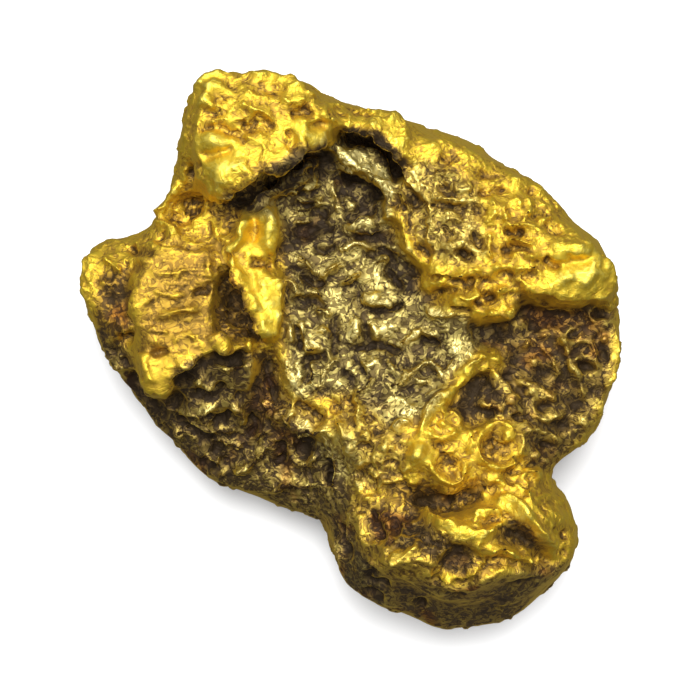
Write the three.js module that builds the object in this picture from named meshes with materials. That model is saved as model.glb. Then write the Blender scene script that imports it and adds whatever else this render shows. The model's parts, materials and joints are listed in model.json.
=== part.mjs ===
// A natural gold nugget, one water-worn piece of native gold with a flattened underside that it rests on.
// Millimetres, +Z up. The origin is on the resting face, under the middle of the nugget.
// Seen from above, +Y is away from the viewer and +X to the right.
//
// The nugget is a sphere of triangles pulled onto three things: a girdle, which is its widest line all round,
// an upper side made of rounded masses with hollows sunk in them, and a lower side with worn flats.

import * as THREE from "three";
import { ImprovedNoise } from "three/addons/math/ImprovedNoise.js";
import { mergeVertices } from "three/addons/utils/BufferGeometryUtils.js";

// Driving dimensions
const SPHERE_DETAIL = 21; // 20 x (detail + 1)^2 triangles
const HEART = new THREE.Vector2(1.0, -0.6); // every point of the girdle can be seen from here
const UPPER_SHARE = 0.25; // how far the sphere's equator is lowered, so that more triangles face up
const SPREAD = 1.75; // 1 spaces the vertices evenly in plan, 2 gathers them on the sides
const EDGE_ROUNDNESS = 4.8; // higher turns over more sharply at the girdle
const BELLY_ROUNDNESS = 3.6; // the same for the lower side
const FOOT_LEVEL = 4.0; // where the masses of the upper side start
const BLEND = 0.9; // how softly neighbouring masses run together
const ARCH_LEVEL = 0.5; // the lower side between its feet
const ARCH_WAVE = 0.5;
const ARCH_WAVE_LENGTH = 2.3;
const WAVE_HEIGHT = 0.28; // the swell over the whole surface
const WAVE_LENGTH = 1.7;
const TUMBLE_ROUNDS = 5; // how long the water has rounded its edges
const TUMBLE_SHARE = 0.5; // how far a vertex moves to the middle of its neighbours in one round

// The girdle, anticlockwise from the east: x, y and height above the resting face.
const GIRDLE = [
  [9.0, 0.0, 3.1], [8.93, 1.0, 3.4], [8.88, 2.1, 3.8], [8.68, 2.9, 3.9], [8.3, 3.5, 3.7],
  [7.7, 3.98, 3.4], [7.35, 4.5, 3.2], [6.9, 4.98, 3.0], [6.0, 5.6, 2.9], [5.0, 6.32, 2.8],
  [4.0, 6.88, 2.9], [3.0, 7.32, 3.1], [2.0, 7.55, 3.3], [0.9, 8.0, 3.3], [0.0, 8.08, 3.4],
  [-1.2, 8.62, 3.6], [-2.1, 9.0, 3.7], [-3.0, 9.1, 3.8], [-3.9, 9.3, 3.8], [-4.5, 9.22, 3.8],
  [-5.0, 8.95, 3.8], [-5.35, 8.45, 3.8], [-5.52, 7.5, 3.7], [-5.74, 6.8, 3.5], [-5.74, 6.1, 3.3],
  [-5.58, 5.5, 3.1], [-5.95, 5.1, 3.2], [-6.15, 4.75, 3.2], [-6.5, 4.35, 3.3], [-6.5, 3.95, 3.3],
  [-7.0, 3.75, 3.3], [-7.52, 3.42, 3.0], [-7.85, 3.65, 2.9], [-8.25, 3.75, 2.9], [-8.7, 3.45, 2.8],
  [-8.93, 2.9, 2.8], [-9.0, 2.1, 2.8], [-8.8, 1.2, 2.6], [-8.3, 0.2, 2.4], [-7.75, -0.6, 2.2],
  [-7.15, -1.5, 2.0], [-6.55, -2.2, 1.8], [-5.9, -3.0, 1.6], [-5.2, -3.8, 1.5], [-4.6, -4.4, 1.5],
  [-4.0, -4.75, 1.5], [-3.2, -4.88, 1.6], [-2.5, -5.12, 1.6], [-1.75, -5.52, 1.7], [-1.15, -5.62, 1.8],
  [-0.8, -5.85, 1.9], [-0.52, -6.22, 2.1], [-0.74, -6.5, 2.3], [-0.68, -6.85, 2.3], [-0.35, -7.35, 2.3],
  [0.25, -7.85, 2.3], [0.95, -8.42, 2.3], [1.8, -8.85, 2.3], [2.7, -9.1, 2.3], [3.5, -9.32, 2.3],
  [4.25, -9.3, 2.4], [5.0, -9.0, 2.5], [5.9, -8.58, 2.6], [6.6, -8.05, 2.7], [7.1, -7.5, 2.8],
  [7.35, -6.95, 2.8], [7.65, -6.5, 2.8], [7.77, -5.95, 2.8], [7.5, -5.25, 2.8], [7.05, -4.72, 2.9],
  [6.5, -4.45, 2.9], [6.5, -4.12, 2.9], [6.85, -3.85, 2.9], [7.15, -3.5, 2.9], [7.7, -3.12, 2.8],
  [8.1, -2.75, 2.8], [8.4, -2.1, 2.8], [8.7, -1.5, 2.8], [8.95, -0.8, 2.9],
];

// The masses of the upper side. Each has its middle, half sizes, turn in degrees, level of its top, and flat:
// how much of it is top before its side starts, from 0 for a dome to 1 for a block.
const MASSES = [
  { name: "core", at: [0.6, 0.4], half: [9.2, 9.0], turn: 0, top: 5.2, flat: 0.3 },
  { name: "shoulder", at: [-3.1, 7.2], half: [4.4, 3.1], turn: -14, top: 7.1, flat: 0.55 },
  { name: "knuckle", at: [-4.2, 5.95], half: [1.4, 1.5], turn: 15, top: 7.2, flat: 0.3 },
  { name: "curl", at: [1.0, 6.9], half: [2.3, 1.5], turn: -34, top: 6.6, flat: 0.3 },
  { name: "cheek", at: [4.4, 4.3], half: [5.2, 3.5], turn: -32, top: 6.2, flat: 0.45 },
  { name: "brow", at: [6.9, 2.6], half: [2.8, 2.0], turn: -4, top: 6.7, flat: 0.35 },
  { name: "lip", at: [4.4, 1.8], half: [3.0, 1.5], turn: 4, top: 6.2, flat: 0.3 },
  { name: "east_wall", at: [7.5, -0.8], half: [2.6, 3.2], turn: 8, top: 5.3, flat: 0.3 },
  { name: "plate", at: [-5.6, 1.4], half: [3.0, 3.2], turn: -6, top: 5.8, flat: 0.5 },
  { name: "finger", at: [-8.0, 1.9], half: [1.5, 2.9], turn: 12, top: 5.2, flat: 0.3 },
  { name: "crook", at: [-5.6, 4.5], half: [1.9, 1.6], turn: 30, top: 5.4, flat: 0.3 },
  { name: "flap", at: [-2.95, 2.9], half: [1.3, 3.0], turn: 17, top: 6.2, flat: 0.3 },
  { name: "saddle", at: [2.1, -2.9], half: [3.4, 2.3], turn: -8, top: 6.0, flat: 0.35 },
  { name: "spur", at: [3.6, -1.2], half: [2.0, 1.1], turn: 48, top: 6.1, flat: 0.2 },
  { name: "cup", at: [4.6, -3.1], half: [2.2, 1.9], turn: 0, top: 5.8, flat: 0.4 },
  { name: "lobe", at: [3.5, -6.2], half: [4.9, 3.2], turn: -3, top: 6.9, flat: 0.45 },
  { name: "knob", at: [7.0, -5.7], half: [1.4, 1.8], turn: 10, top: 5.1, flat: 0.3 },
];

// The feet that the lower side rests on, each worn flat where it would reach below the resting face.
const FEET = [
  { name: "north_west", at: [-3.2, 5.2], half: [3.4, 3.0], turn: -20, drop: 1.15 },
  { name: "east", at: [5.2, 1.6], half: [3.6, 4.0], turn: 25, drop: 1.1 },
  { name: "south", at: [3.0, -5.4], half: [3.6, 2.8], turn: 10, drop: 1.2 },
  { name: "west", at: [-4.2, -0.4], half: [2.8, 3.4], turn: 35, drop: 1.15 },
];

// The hollows sunk in the upper side: an outline in plan, the level of the floor in its middle, the floor's
// slope along x and y, and the width of the wall round it.
const HOLLOWS = [
  {
    name: "well",
    outline: [
      [-3.9, 4.7], [-3.0, 5.35], [-1.9, 5.95], [-1.1, 6.35], [-0.5, 6.8], [0.5, 6.85], [1.25, 6.4],
      [1.6, 5.5], [1.45, 4.3], [1.75, 3.3], [2.3, 2.5], [2.9, 1.4], [4.4, 0.6], [4.4, 0.1], [3.4, -1.0],
      [2.4, -2.0], [1.2, -2.4], [-0.4, -2.1], [-1.4, -2.2], [-2.0, -1.3], [-2.1, 0.4], [-2.1, 1.8],
      [-2.25, 3.2], [-2.4, 4.3],
    ],
    floor: 4.85, slope: [0.02, -0.1], wall: 1.5,
  },
  {
    name: "east_face",
    outline: [
      [5.2, 1.5], [6.5, 1.75], [8.2, 1.65], [8.5, 0.2], [8.2, -1.4], [7.4, -2.4], [6.0, -2.5],
      [5.0, -2.1], [3.9, -2.1], [4.2, -1.0], [4.9, -0.5], [4.7, 0.4],
    ],
    floor: 4.6, slope: [-0.05, -0.04], wall: 1.1,
  },
  {
    name: "socket",
    outline: [
      [-4.2, 1.3], [-4.05, 2.2], [-3.7, 2.35], [-3.2, 1.7], [-2.8, 0.8], [-2.6, 0.1], [-3.3, 0.2],
      [-4.1, 0.6],
    ],
    floor: 4.3, slope: [0, 0], wall: 1.3,
  },
  {
    name: "apron",
    outline: [
      [-7.6, -1.4], [-6.2, -1.5], [-5.2, -1.9], [-4.0, -1.6], [-3.3, -0.8], [-2.3, -0.5], [-2.1, -1.8],
      [-1.3, -2.5], [-0.5, -3.4], [-0.6, -5.0], [-0.8, -6.2], [-3.0, -6.0], [-6.0, -4.6], [-8.4, -2.2],
    ],
    floor: 3.5, slope: [0.12, 0.2], wall: 1.8,
  },
  {
    name: "gully",
    outline: [
      [-7.3, 3.9], [-6.9, 3.0], [-7.2, 1.4], [-7.0, -0.2], [-7.5, -0.8], [-7.8, 0.4], [-7.7, 1.8],
      [-7.5, 2.6],
    ],
    floor: 4.5, slope: [0, 0.08], wall: 1.3,
  },
  {
    name: "nook",
    outline: [[-5.9, 4.3], [-5.5, 5.0], [-4.8, 5.0], [-4.5, 4.3], [-4.9, 3.9], [-5.5, 3.9]],
    floor: 4.1, slope: [0, 0], wall: 1.1,
  },
  {
    name: "trough",
    outline: [
      [0.9, -4.5], [2.1, -4.2], [3.3, -4.6], [4.6, -4.3], [6.2, -4.1], [6.0, -4.5], [4.6, -4.7],
      [3.3, -5.1], [1.4, -5.2], [0.4, -5.1],
    ],
    floor: 4.8, slope: [0.03, 0], wall: 1.4,
  },
  {
    name: "west_flank",
    outline: [
      [-0.6, -4.0], [0.0, -4.6], [0.4, -5.8], [0.5, -7.0], [0.9, -7.9], [0.0, -8.6], [-1.4, -7.0],
      [-1.0, -5.0],
    ],
    floor: 4.3, slope: [0.6, 0.1], wall: 1.7,
  },
  {
    name: "front_slope",
    outline: [
      [0.8, -7.5], [2.2, -7.6], [3.6, -7.6], [5.0, -7.3], [6.6, -7.2], [7.4, -6.8], [8.0, -8.0],
      [5.0, -10.0], [2.0, -9.8], [0.0, -8.8],
    ],
    floor: 4.6, slope: [0.05, 0.95], wall: 1.8,
  },
];

const noise = new ImprovedNoise();

function smoothStep(t) {
  const c = THREE.MathUtils.clamp(t, 0, 1);
  return c * c * (3 - 2 * c);
}

// The higher of two levels, with a fillet where they are close.
function blendedMax(a, b, width) {
  const overlap = Math.max(width - Math.abs(a - b), 0) / width;
  return Math.max(a, b) + (overlap * overlap * width) / 4;
}

function closedCurve(points) {
  const knots = points.map(([x, y, z = 0]) => new THREE.Vector3(x, y, z));
  return new THREE.CatmullRomCurve3(knots, true, "centripetal");
}

// The girdle as samples in order of their bearing from the heart. A sample that doubles back behind a bump is
// left out, so that each bearing meets the girdle once.
function girdleByBearing() {
  const samples = [];
  for (const point of closedCurve(GIRDLE).getPoints(GIRDLE.length * 12).slice(0, -1)) {
    let bearing = Math.atan2(point.y - HEART.y, point.x - HEART.x);
    if (samples.length && bearing < samples[0].bearing) bearing += 2 * Math.PI;
    if (!samples.length || bearing > samples.at(-1).bearing) samples.push({ bearing, point });
  }
  return samples;
}

const girdle = girdleByBearing();

function girdlePoint(bearing) {
  const first = girdle[0].bearing;
  const turn = 2 * Math.PI;
  const b = first + ((((bearing - first) % turn) + turn) % turn);
  let after = girdle.findIndex((sample) => sample.bearing > b);
  if (after < 0) after = girdle.length;
  const low = girdle[after - 1];
  const high = after < girdle.length ? girdle[after] : { bearing: first + turn, point: girdle[0].point };
  return low.point.clone().lerp(high.point, (b - low.bearing) / (high.bearing - low.bearing));
}

// How far a point in plan is inside a closed outline, in millimetres, and negative outside it.
function depthInside(x, y, outline) {
  let nearest = Infinity;
  let inside = false;
  for (let i = 0; i < outline.length; i++) {
    const a = outline[i];
    const b = outline[(i + 1) % outline.length];
    const along = new THREE.Vector2(b.x - a.x, b.y - a.y);
    const to = new THREE.Vector2(x - a.x, y - a.y);
    const share = THREE.MathUtils.clamp(to.dot(along) / along.lengthSq(), 0, 1);
    nearest = Math.min(nearest, to.addScaledVector(along, -share).length());
    if (a.y > y !== b.y > y && x < a.x + ((y - a.y) / (b.y - a.y)) * (b.x - a.x)) inside = !inside;
  }
  return inside ? nearest : -nearest;
}

// How far a point in plan is from the middle of a turned ellipse, as a share of the way to its edge.
function distanceOut(x, y, { at, half, turn }) {
  const from = new THREE.Vector2(x - at[0], y - at[1]);
  from.rotateAround(new THREE.Vector2(), -turn * THREE.MathUtils.DEG2RAD);
  return Math.hypot(from.x / half[0], from.y / half[1]);
}

function massLevel(x, y, mass) {
  const side = (distanceOut(x, y, mass) - mass.flat) / (1 - mass.flat);
  return FOOT_LEVEL + (mass.top - FOOT_LEVEL) * (1 - smoothStep(side));
}

const hollows = HOLLOWS.map((hollow) => {
  const outline = closedCurve(hollow.outline).getPoints(hollow.outline.length * 4).slice(0, -1);
  const middle = new THREE.Box3().setFromPoints(outline).getCenter(new THREE.Vector3());
  return { ...hollow, outline, middle };
});

function upperLevel(x, y) {
  let level = MASSES.reduce((sum, mass) => blendedMax(sum, massLevel(x, y, mass), BLEND), FOOT_LEVEL);
  for (const { outline, middle, floor, slope, wall } of hollows) {
    const sunk = smoothStep(depthInside(x, y, outline) / wall + 0.5);
    const bottom = floor + slope[0] * (x - middle.x) + slope[1] * (y - middle.y);
    level = THREE.MathUtils.lerp(level, -blendedMax(-level, -bottom, BLEND), sunk);
  }
  return level;
}

function lowerLevel(x, y) {
  const arch = ARCH_LEVEL + ARCH_WAVE * noise.noise(x / ARCH_WAVE_LENGTH, y / ARCH_WAVE_LENGTH, 7.3);
  return FEET.reduce((level, foot) => level - foot.drop * (1 - smoothStep(distanceOut(x, y, foot))), arch);
}

// Where a point of the unit sphere goes. The girdle takes the sphere's lowered equator.
function place(onSphere) {
  const raised = onSphere.z + UPPER_SHARE;
  const upper = raised >= 0;
  const rise = Math.abs(raised) / (upper ? 1 + UPPER_SHARE : 1 - UPPER_SHARE);
  const reach = Math.sqrt(Math.max(1 - rise ** SPREAD, 0));
  const edge = girdlePoint(Math.atan2(onSphere.y, onSphere.x));
  const x = THREE.MathUtils.lerp(HEART.x, edge.x, reach);
  const y = THREE.MathUtils.lerp(HEART.y, edge.y, reach);
  const roundness = upper ? EDGE_ROUNDNESS : BELLY_ROUNDNESS;
  const away = (1 - reach ** roundness) ** (1 / roundness);
  const goal = upper ? upperLevel(x, y) : lowerLevel(x, y);
  return new THREE.Vector3(x, y, THREE.MathUtils.lerp(edge.z, goal, away));
}

// Each vertex's neighbours, from the triangles round it.
function neighboursOf(geometry) {
  const neighbours = Array.from({ length: geometry.getAttribute("position").count }, () => new Set());
  const corners = geometry.index.array;
  for (let i = 0; i < corners.length; i += 3) {
    for (let k = 0; k < 3; k++) {
      neighbours[corners[i + k]].add(corners[i + ((k + 1) % 3)]);
      neighbours[corners[i + ((k + 1) % 3)]].add(corners[i + k]);
    }
  }
  return neighbours;
}

// Rounds the edges off, as a river does.
function tumble(geometry) {
  const position = geometry.getAttribute("position");
  const neighbours = neighboursOf(geometry);
  for (let round = 0; round < TUMBLE_ROUNDS; round++) {
    const before = neighbours.map((_, i) => new THREE.Vector3().fromBufferAttribute(position, i));
    neighbours.forEach((around, i) => {
      const middle = new THREE.Vector3();
      around.forEach((n) => middle.add(before[n]));
      middle.divideScalar(around.size);
      position.setXYZ(i, ...before[i].clone().lerp(middle, TUMBLE_SHARE));
    });
  }
}

// A low swell along each vertex's own normal, so that no side of the nugget is plain.
function swell(geometry) {
  geometry.computeVertexNormals();
  const position = geometry.getAttribute("position");
  const normal = geometry.getAttribute("normal");
  const point = new THREE.Vector3();
  const outward = new THREE.Vector3();
  for (let i = 0; i < position.count; i++) {
    point.fromBufferAttribute(position, i);
    outward.fromBufferAttribute(normal, i);
    const wave = noise.noise(point.x / WAVE_LENGTH, point.y / WAVE_LENGTH, point.z / WAVE_LENGTH);
    point.addScaledVector(outward, WAVE_HEIGHT * wave);
    position.setXYZ(i, point.x, point.y, point.z);
  }
}

// The worn underside: nothing reaches below the resting face.
function wearFlat(geometry) {
  const position = geometry.getAttribute("position");
  for (let i = 0; i < position.count; i++) position.setZ(i, Math.max(position.getZ(i), 0));
}

function nuggetGeometry() {
  const sphere = new THREE.IcosahedronGeometry(1, SPHERE_DETAIL);
  sphere.deleteAttribute("normal");
  sphere.deleteAttribute("uv");
  const geometry = mergeVertices(sphere, 1e-5);
  const position = geometry.getAttribute("position");
  const onSphere = new THREE.Vector3();
  for (let i = 0; i < position.count; i++) {
    const { x, y, z } = place(onSphere.fromBufferAttribute(position, i));
    position.setXYZ(i, x, y, z);
  }
  tumble(geometry);
  swell(geometry);
  wearFlat(geometry);
  geometry.computeBoundingBox();
  const middle = geometry.boundingBox.getCenter(new THREE.Vector3());
  geometry.translate(-middle.x, -middle.y, 0);
  geometry.computeVertexNormals();
  return geometry;
}

const nativeGold = new THREE.MeshStandardMaterial({ color: 0xd8a520, metalness: 1, roughness: 0.38 });

const nugget = new THREE.Mesh(nuggetGeometry(), nativeGold);
nugget.name = "nugget";

const part = new THREE.Group();
part.add(nugget);

export default part;
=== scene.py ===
import json
import math

import bpy
import numpy as np
from mathutils import Matrix, Vector, noise
from mathutils.bvhtree import BVHTree

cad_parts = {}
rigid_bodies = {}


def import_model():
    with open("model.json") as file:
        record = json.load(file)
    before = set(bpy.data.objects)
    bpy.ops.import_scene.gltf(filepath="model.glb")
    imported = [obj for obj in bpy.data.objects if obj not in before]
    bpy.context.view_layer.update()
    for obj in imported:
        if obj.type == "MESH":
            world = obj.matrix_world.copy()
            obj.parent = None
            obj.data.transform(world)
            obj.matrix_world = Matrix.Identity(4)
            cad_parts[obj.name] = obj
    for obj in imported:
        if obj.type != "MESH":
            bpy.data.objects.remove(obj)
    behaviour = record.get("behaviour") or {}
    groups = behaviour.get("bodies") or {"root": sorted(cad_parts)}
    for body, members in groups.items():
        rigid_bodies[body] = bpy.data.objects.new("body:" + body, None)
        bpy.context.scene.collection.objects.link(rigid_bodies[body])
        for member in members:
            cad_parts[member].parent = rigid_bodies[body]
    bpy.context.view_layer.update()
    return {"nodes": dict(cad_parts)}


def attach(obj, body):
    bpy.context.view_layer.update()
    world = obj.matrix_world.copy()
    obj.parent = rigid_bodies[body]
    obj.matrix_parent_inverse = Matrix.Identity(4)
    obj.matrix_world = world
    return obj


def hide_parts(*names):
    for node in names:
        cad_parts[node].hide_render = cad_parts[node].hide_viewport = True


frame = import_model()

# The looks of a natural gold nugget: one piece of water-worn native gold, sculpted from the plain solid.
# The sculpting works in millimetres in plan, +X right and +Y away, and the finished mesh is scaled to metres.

MM = 0.001
MAX_TRIANGLES = 196000

# The skin
LOOSE_GAP = 0.002  # corners of the plain solid that are closer than this are one corner
ROUNDING = 3  # how many times its facets are rounded
SKIN_VOXEL = 0.058  # size of the even mesh that the fine texture is cut in
UNDERSIDE_KEPT = 0.74  # share of the mesh that is left when the underside has been thinned out
CREST = 6.7  # heights above this are held back, to CREST_SPARE more at most
CREST_SPARE = 0.3
TIP_PROUD = 0.08  # a tip that stands further out than this is worn back
TIP_WORN = 0.75  # by this share of what is too much

# Strokes
TOP_STARTS = 0.2  # skin is part of the top where the height of its normal is over this
TOP_SPAN = 0.4  # and wholly so this much further on
TOP_FLOOR = 0.8  # no stroke on the top reaches skin lower than this
WANDER_SEED = 3
WANDER = 0.1  # how far a stroke strays from its line
WANDER_COARSE = 0.5  # length of its slow bends
WANDER_SMALL = 0.22  # length of its quick bends
WANDER_SMALL_SHARE = 0.5
UNEVEN_COARSE = 0.5  # how much the pressure of a stroke changes over a slow bend
UNEVEN_SMALL = 0.3
RIDGE_SHAPE = 1.4  # 2 gives a round ridge and 1 a sharp one
CLEAR_OF_RIDGE = 3  # a ridge has died away this many widths off
CLEAR_OF_SPOT = 2.5  # a spot or a ledge has died away this many reaches off
SETTLED = 0.65  # a hollow or a swell comes out at this share of the amount given

# Fine texture
MASK_LEVELS = 20
TREAD = 0.75  # share of each step of a terrace that is an almost flat leaf
TREAD_SLOPE = 0.25
RISER_FOOT = 0.19  # height of a step where its riser begins
RISER_SLOPE = 3.24
RIPPLE = 2.3  # how many times finer the small part of a swell is
RIPPLE_SHARE = 0.45
SWELL_LESS = 0.6  # share of the slow swell that is taken away again under the steps

# Wear, in rounds of smoothing that set what counts as fine, middle or a tip, and in millimetres
FINE_ROUNDS = 6
MIDDLE_ROUNDS = 40
TIP_ROUNDS = 60
SHELTER_REACH = 1.6  # a crevice wall further off than this shelters nothing
SHELTER_START = 0.03
SHELTER_RINGS = ((0.35, 3), (0.95, 6))  # rings of rays: their lean from the normal in radians, and how many
DRAWN_LIMIT = 0.5  # strokes higher or deeper than this are worn no more and no less
PLAIN_WEAR = 0.62  # of skin that neither stands out nor lies in a hollow, for 1 as rubbed bright
FINE_WEAR = 3.5  # more for each millimetre that it stands out from what is near
MIDDLE_WEAR = 0.42  # and from what is further round it
STROKE_WEAR = 0.35  # and for each millimetre that the strokes raise it
CREVICE_SHADE_AND_DIRT = 0.2  # less where it is wholly closed in, as painted shade with dirt in the crevices
POLISH_WEAR = 0.12
SHELF_PAINTED_LIGHT = 0.3  # painted light: more on the shelf below the shoulder, which lies in shadow
SIDE_STARTS = 0.35  # skin is part of the side where the height of its normal is below this
SIDE_SPAN = 0.6
# how much darker the side walls are: partly stain, partly painted shade where they turn away from the light
SIDE_STAIN_AND_SHADE = 0.9
SIDE_PITS = 0.8


# ---------------------------------------------------------------------------------------------------------
# Tools

def soft_step(t):
    """0 below 0, 1 above 1, and smooth between."""
    t = np.clip(t, 0.0, 1.0)
    return t * t * (3.0 - 2.0 * t)


def smooth_line(points, steps=6):
    """A smooth curve through given points (Catmull-Rom)."""
    p = np.array(points, float)
    p = np.vstack([2 * p[0] - p[1], p, 2 * p[-1] - p[-2]])
    t = np.linspace(0, 1, steps, endpoint=False)[:, None]
    spans = []
    for a, b, c, d in zip(p[:-3], p[1:-2], p[2:-1], p[3:]):
        spans.append(0.5 * (2 * b + (c - a) * t + (2 * a - 5 * b + 4 * c - d) * t ** 2
                            + (3 * b - a - 3 * c + d) * t ** 3))
    return np.vstack(spans + [p[-2][None]])


class Near:
    """The vertices within reach of a line in plan: how far off they are, on which side, and how far along."""

    def __init__(self, plan, line, reach):
        low, high = line.min(0) - reach, line.max(0) + reach
        self.who = np.flatnonzero(((plan > low) & (plan < high)).all(1))
        p = plan[self.who]
        self.off = np.full(len(p), np.inf)
        self.left = np.zeros(len(p))
        self.run = np.zeros(len(p))
        self.sideways = np.zeros((len(p), 2))
        lengths = np.linalg.norm(np.diff(line, axis=0), axis=1)
        starts = np.concatenate([[0], np.cumsum(lengths)])
        for a, b, length, start in zip(line[:-1], line[1:], lengths, starts):
            ahead = (b - a) / length
            t = np.clip((p - a) @ ahead, 0, length)
            gap = p - a - t[:, None] * ahead
            off = np.hypot(gap[:, 0], gap[:, 1])
            closer = off < self.off
            self.off[closer] = off[closer]
            left = ahead[0] * (p[:, 1] - a[1]) - ahead[1] * (p[:, 0] - a[0])
            self.left[closer] = np.where(left[closer] >= 0, off[closer], -off[closer])
            self.run[closer] = (start + t[closer]) / starts[-1]
            self.sideways[closer] = (-ahead[1], ahead[0])

    def fade(self, share):
        """0 at both ends of the line and 1 between, over a share of its length at each end."""
        return soft_step(self.run / share) * soft_step((1 - self.run) / share)


def inside(plan, outline, soft):
    """1 inside a closed outline in plan and 0 outside it, over a soft edge."""
    line = smooth_line(list(outline) + [outline[0]], 4)
    near = Near(plan, line, soft)
    x, y = plan[:, 0], plan[:, 1]
    within = np.zeros(len(plan), bool)
    for (ax, ay), (bx, by) in zip(line[:-1], line[1:]):
        crosses = (ay > y) != (by > y)
        with np.errstate(divide="ignore", invalid="ignore"):
            within ^= crosses & (x < ax + (y - ay) / (by - ay) * (bx - ax))
    mask = within.astype(float)
    signed = np.where(within[near.who], near.off, -near.off)
    mask[near.who] = soft_step(signed / (2 * soft) + 0.5)
    return mask


class Clay:
    """The nugget while it is sculpted. Strokes add up in lift, and press moves the vertices.

    Strokes are drawn in a plan that wanders a little, so that no edge of a stroke comes out perfect."""

    def __init__(self, piece):
        self.piece = piece
        self.read()
        noise.seed_set(WANDER_SEED)
        coarse = np.array([noise.noise_vector(p) for p in (self.at / WANDER_COARSE).tolist()])
        small = np.array([noise.noise_vector(p) for p in (self.at / WANDER_SMALL).tolist()])
        self.plan = self.at[:, :2] + WANDER * (coarse[:, :2] + WANDER_SMALL_SHARE * small[:, :2])
        self.uneven = 1 + UNEVEN_COARSE * coarse[:, 2] + UNEVEN_SMALL * small[:, 2]

    def read(self):
        """Takes the vertices and their normals from the mesh, with no stroke on them yet."""
        mesh = self.piece.data
        count = len(mesh.vertices)
        self.at = np.empty(count * 3, np.float32)
        mesh.vertices.foreach_get("co", self.at)
        self.at = self.at.reshape(-1, 3).astype(float)
        self.facing = np.empty(count * 3, np.float32)
        mesh.vertex_normals.foreach_get("vector", self.facing)
        self.facing = self.facing.reshape(-1, 3).astype(float)
        self.top = soft_step((self.facing[:, 2] - TOP_STARTS) / TOP_SPAN) * (self.at[:, 2] > TOP_FLOOR)
        self.lift = np.zeros(count)
        self.slide = np.zeros((count, 2))

    def press(self):
        """Moves the vertices by the strokes, and nothing goes below the ground."""
        self.at += self.facing * self.lift[:, None]
        self.at[:, :2] += self.slide
        self.at[:, 2] = np.maximum(self.at[:, 2], 0.0)
        mesh = self.piece.data
        mesh.vertices.foreach_set("co", self.at.astype(np.float32).ravel())
        mesh.update()

    def level(self, outline, height, soft=0.22, share=1.0, tilt=(0.0, 0.0)):
        """Brings the top inside an outline to a height, or to a plane through it that climbs by tilt."""
        mask = inside(self.plan, outline, soft) * soft_step((self.facing[:, 2] + 0.05) / 0.2) * share
        who = np.flatnonzero(mask)
        plane = height + (self.plan[who] - np.mean(outline, axis=0)) @ tilt
        self.at[who, 2] += (plane - self.at[who, 2]) * mask[who]

    def raise_by(self, who, rise):
        """Lifts part of the top, a little unevenly, as a hand would."""
        self.lift[who] += rise * self.uneven[who] * self.top[who]

    def ridge(self, points, height, width, fade=0.25):
        """A raised line through points, or a groove where height is negative."""
        near = Near(self.plan, smooth_line(points), CLEAR_OF_RIDGE * width)
        self.raise_by(near.who, height * np.exp(-(near.off / width) ** RIDGE_SHAPE) * near.fade(fade))

    def ridges(self, height, width, lines):
        for line in lines:
            self.ridge(line, height, width)

    def grooves(self, depth, width, lines):
        self.ridges(-depth, width, lines)

    def ledge(self, points, high, low, width, reach, shove=0.0, fade=0.15):
        """A step along a line: the left side stands up, the right side goes down, the lip is shoved over."""
        near = Near(self.plan, smooth_line(points), CLEAR_OF_SPOT * reach)
        up = soft_step(near.left / (2 * width) + 0.5)
        far = np.exp(-(near.off / reach) ** 2) * near.fade(fade) * self.top[near.who]
        self.lift[near.who] += (high * up - low * (1 - up)) * far
        lip = np.exp(-(near.off / (2 * width)) ** 2) * near.fade(fade) * self.top[near.who]
        self.slide[near.who] -= near.sideways * (shove * lip)[:, None]

    def spot(self, x, y, a, b, turn=0.0, height=0.2, sharp=2.0):
        """A lump with half sizes a and b, or a hollow where height is negative."""
        cosine, sine = math.cos(math.radians(turn)), math.sin(math.radians(turn))
        dx, dy = self.plan[:, 0] - x, self.plan[:, 1] - y
        who = np.flatnonzero(np.maximum(np.abs(dx), np.abs(dy)) < CLEAR_OF_SPOT * max(a, b))
        along, across = cosine * dx[who] + sine * dy[who], cosine * dy[who] - sine * dx[who]
        out = np.hypot(along / a, across / b)
        self.raise_by(who, height * np.exp(-out ** sharp))

    def swell(self, x, y, reach, amount):
        """Pushes the side walls near a point out, or in where amount is negative."""
        off = np.hypot(self.plan[:, 0] - x, self.plan[:, 1] - y)
        side = 1 - np.abs(self.facing[:, 2])
        self.lift += SETTLED * amount * np.exp(-(off / reach) ** 2) * side

    def lumps(self, height, spots):
        """Spots of one height, each given by its place, its half sizes and its turn."""
        for spot in spots:
            self.spot(*spot, height=height)

    def hollows(self, depth, spots):
        self.lumps(-SETTLED * depth, spots)

    def ring(self, x, y, a, b, turn=0.0, rim=0.2, depth=0.3, width=0.13, start=0, end=360):
        """A hollow with a raised rim along the part of its edge between two angles."""
        self.spot(x, y, 0.8 * a, 0.8 * b, turn, height=-SETTLED * depth, sharp=2.5)
        cosine, sine = math.cos(math.radians(turn)), math.sin(math.radians(turn))
        points = []
        for angle in np.radians(np.linspace(start, end, 9)):
            u, v = a * math.cos(angle), b * math.sin(angle)
            points.append((x + cosine * u - sine * v, y + sine * u + cosine * v))
        self.ridge(points, rim, width, fade=0.12)


# ---------------------------------------------------------------------------------------------------------
# The plain solid becomes a fine, even skin

def only(piece):
    """Selects one object and makes it the active one."""
    bpy.ops.object.select_all(action="DESELECT")
    piece.select_set(True)
    bpy.context.view_layer.objects.active = piece


def apply(piece, kind, **settings):
    """Adds a modifier and applies it."""
    only(piece)
    modifier = piece.modifiers.new(kind, kind)
    for name, value in settings.items():
        setattr(modifier, name, value)
    bpy.ops.object.modifier_apply(modifier=modifier.name)


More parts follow.
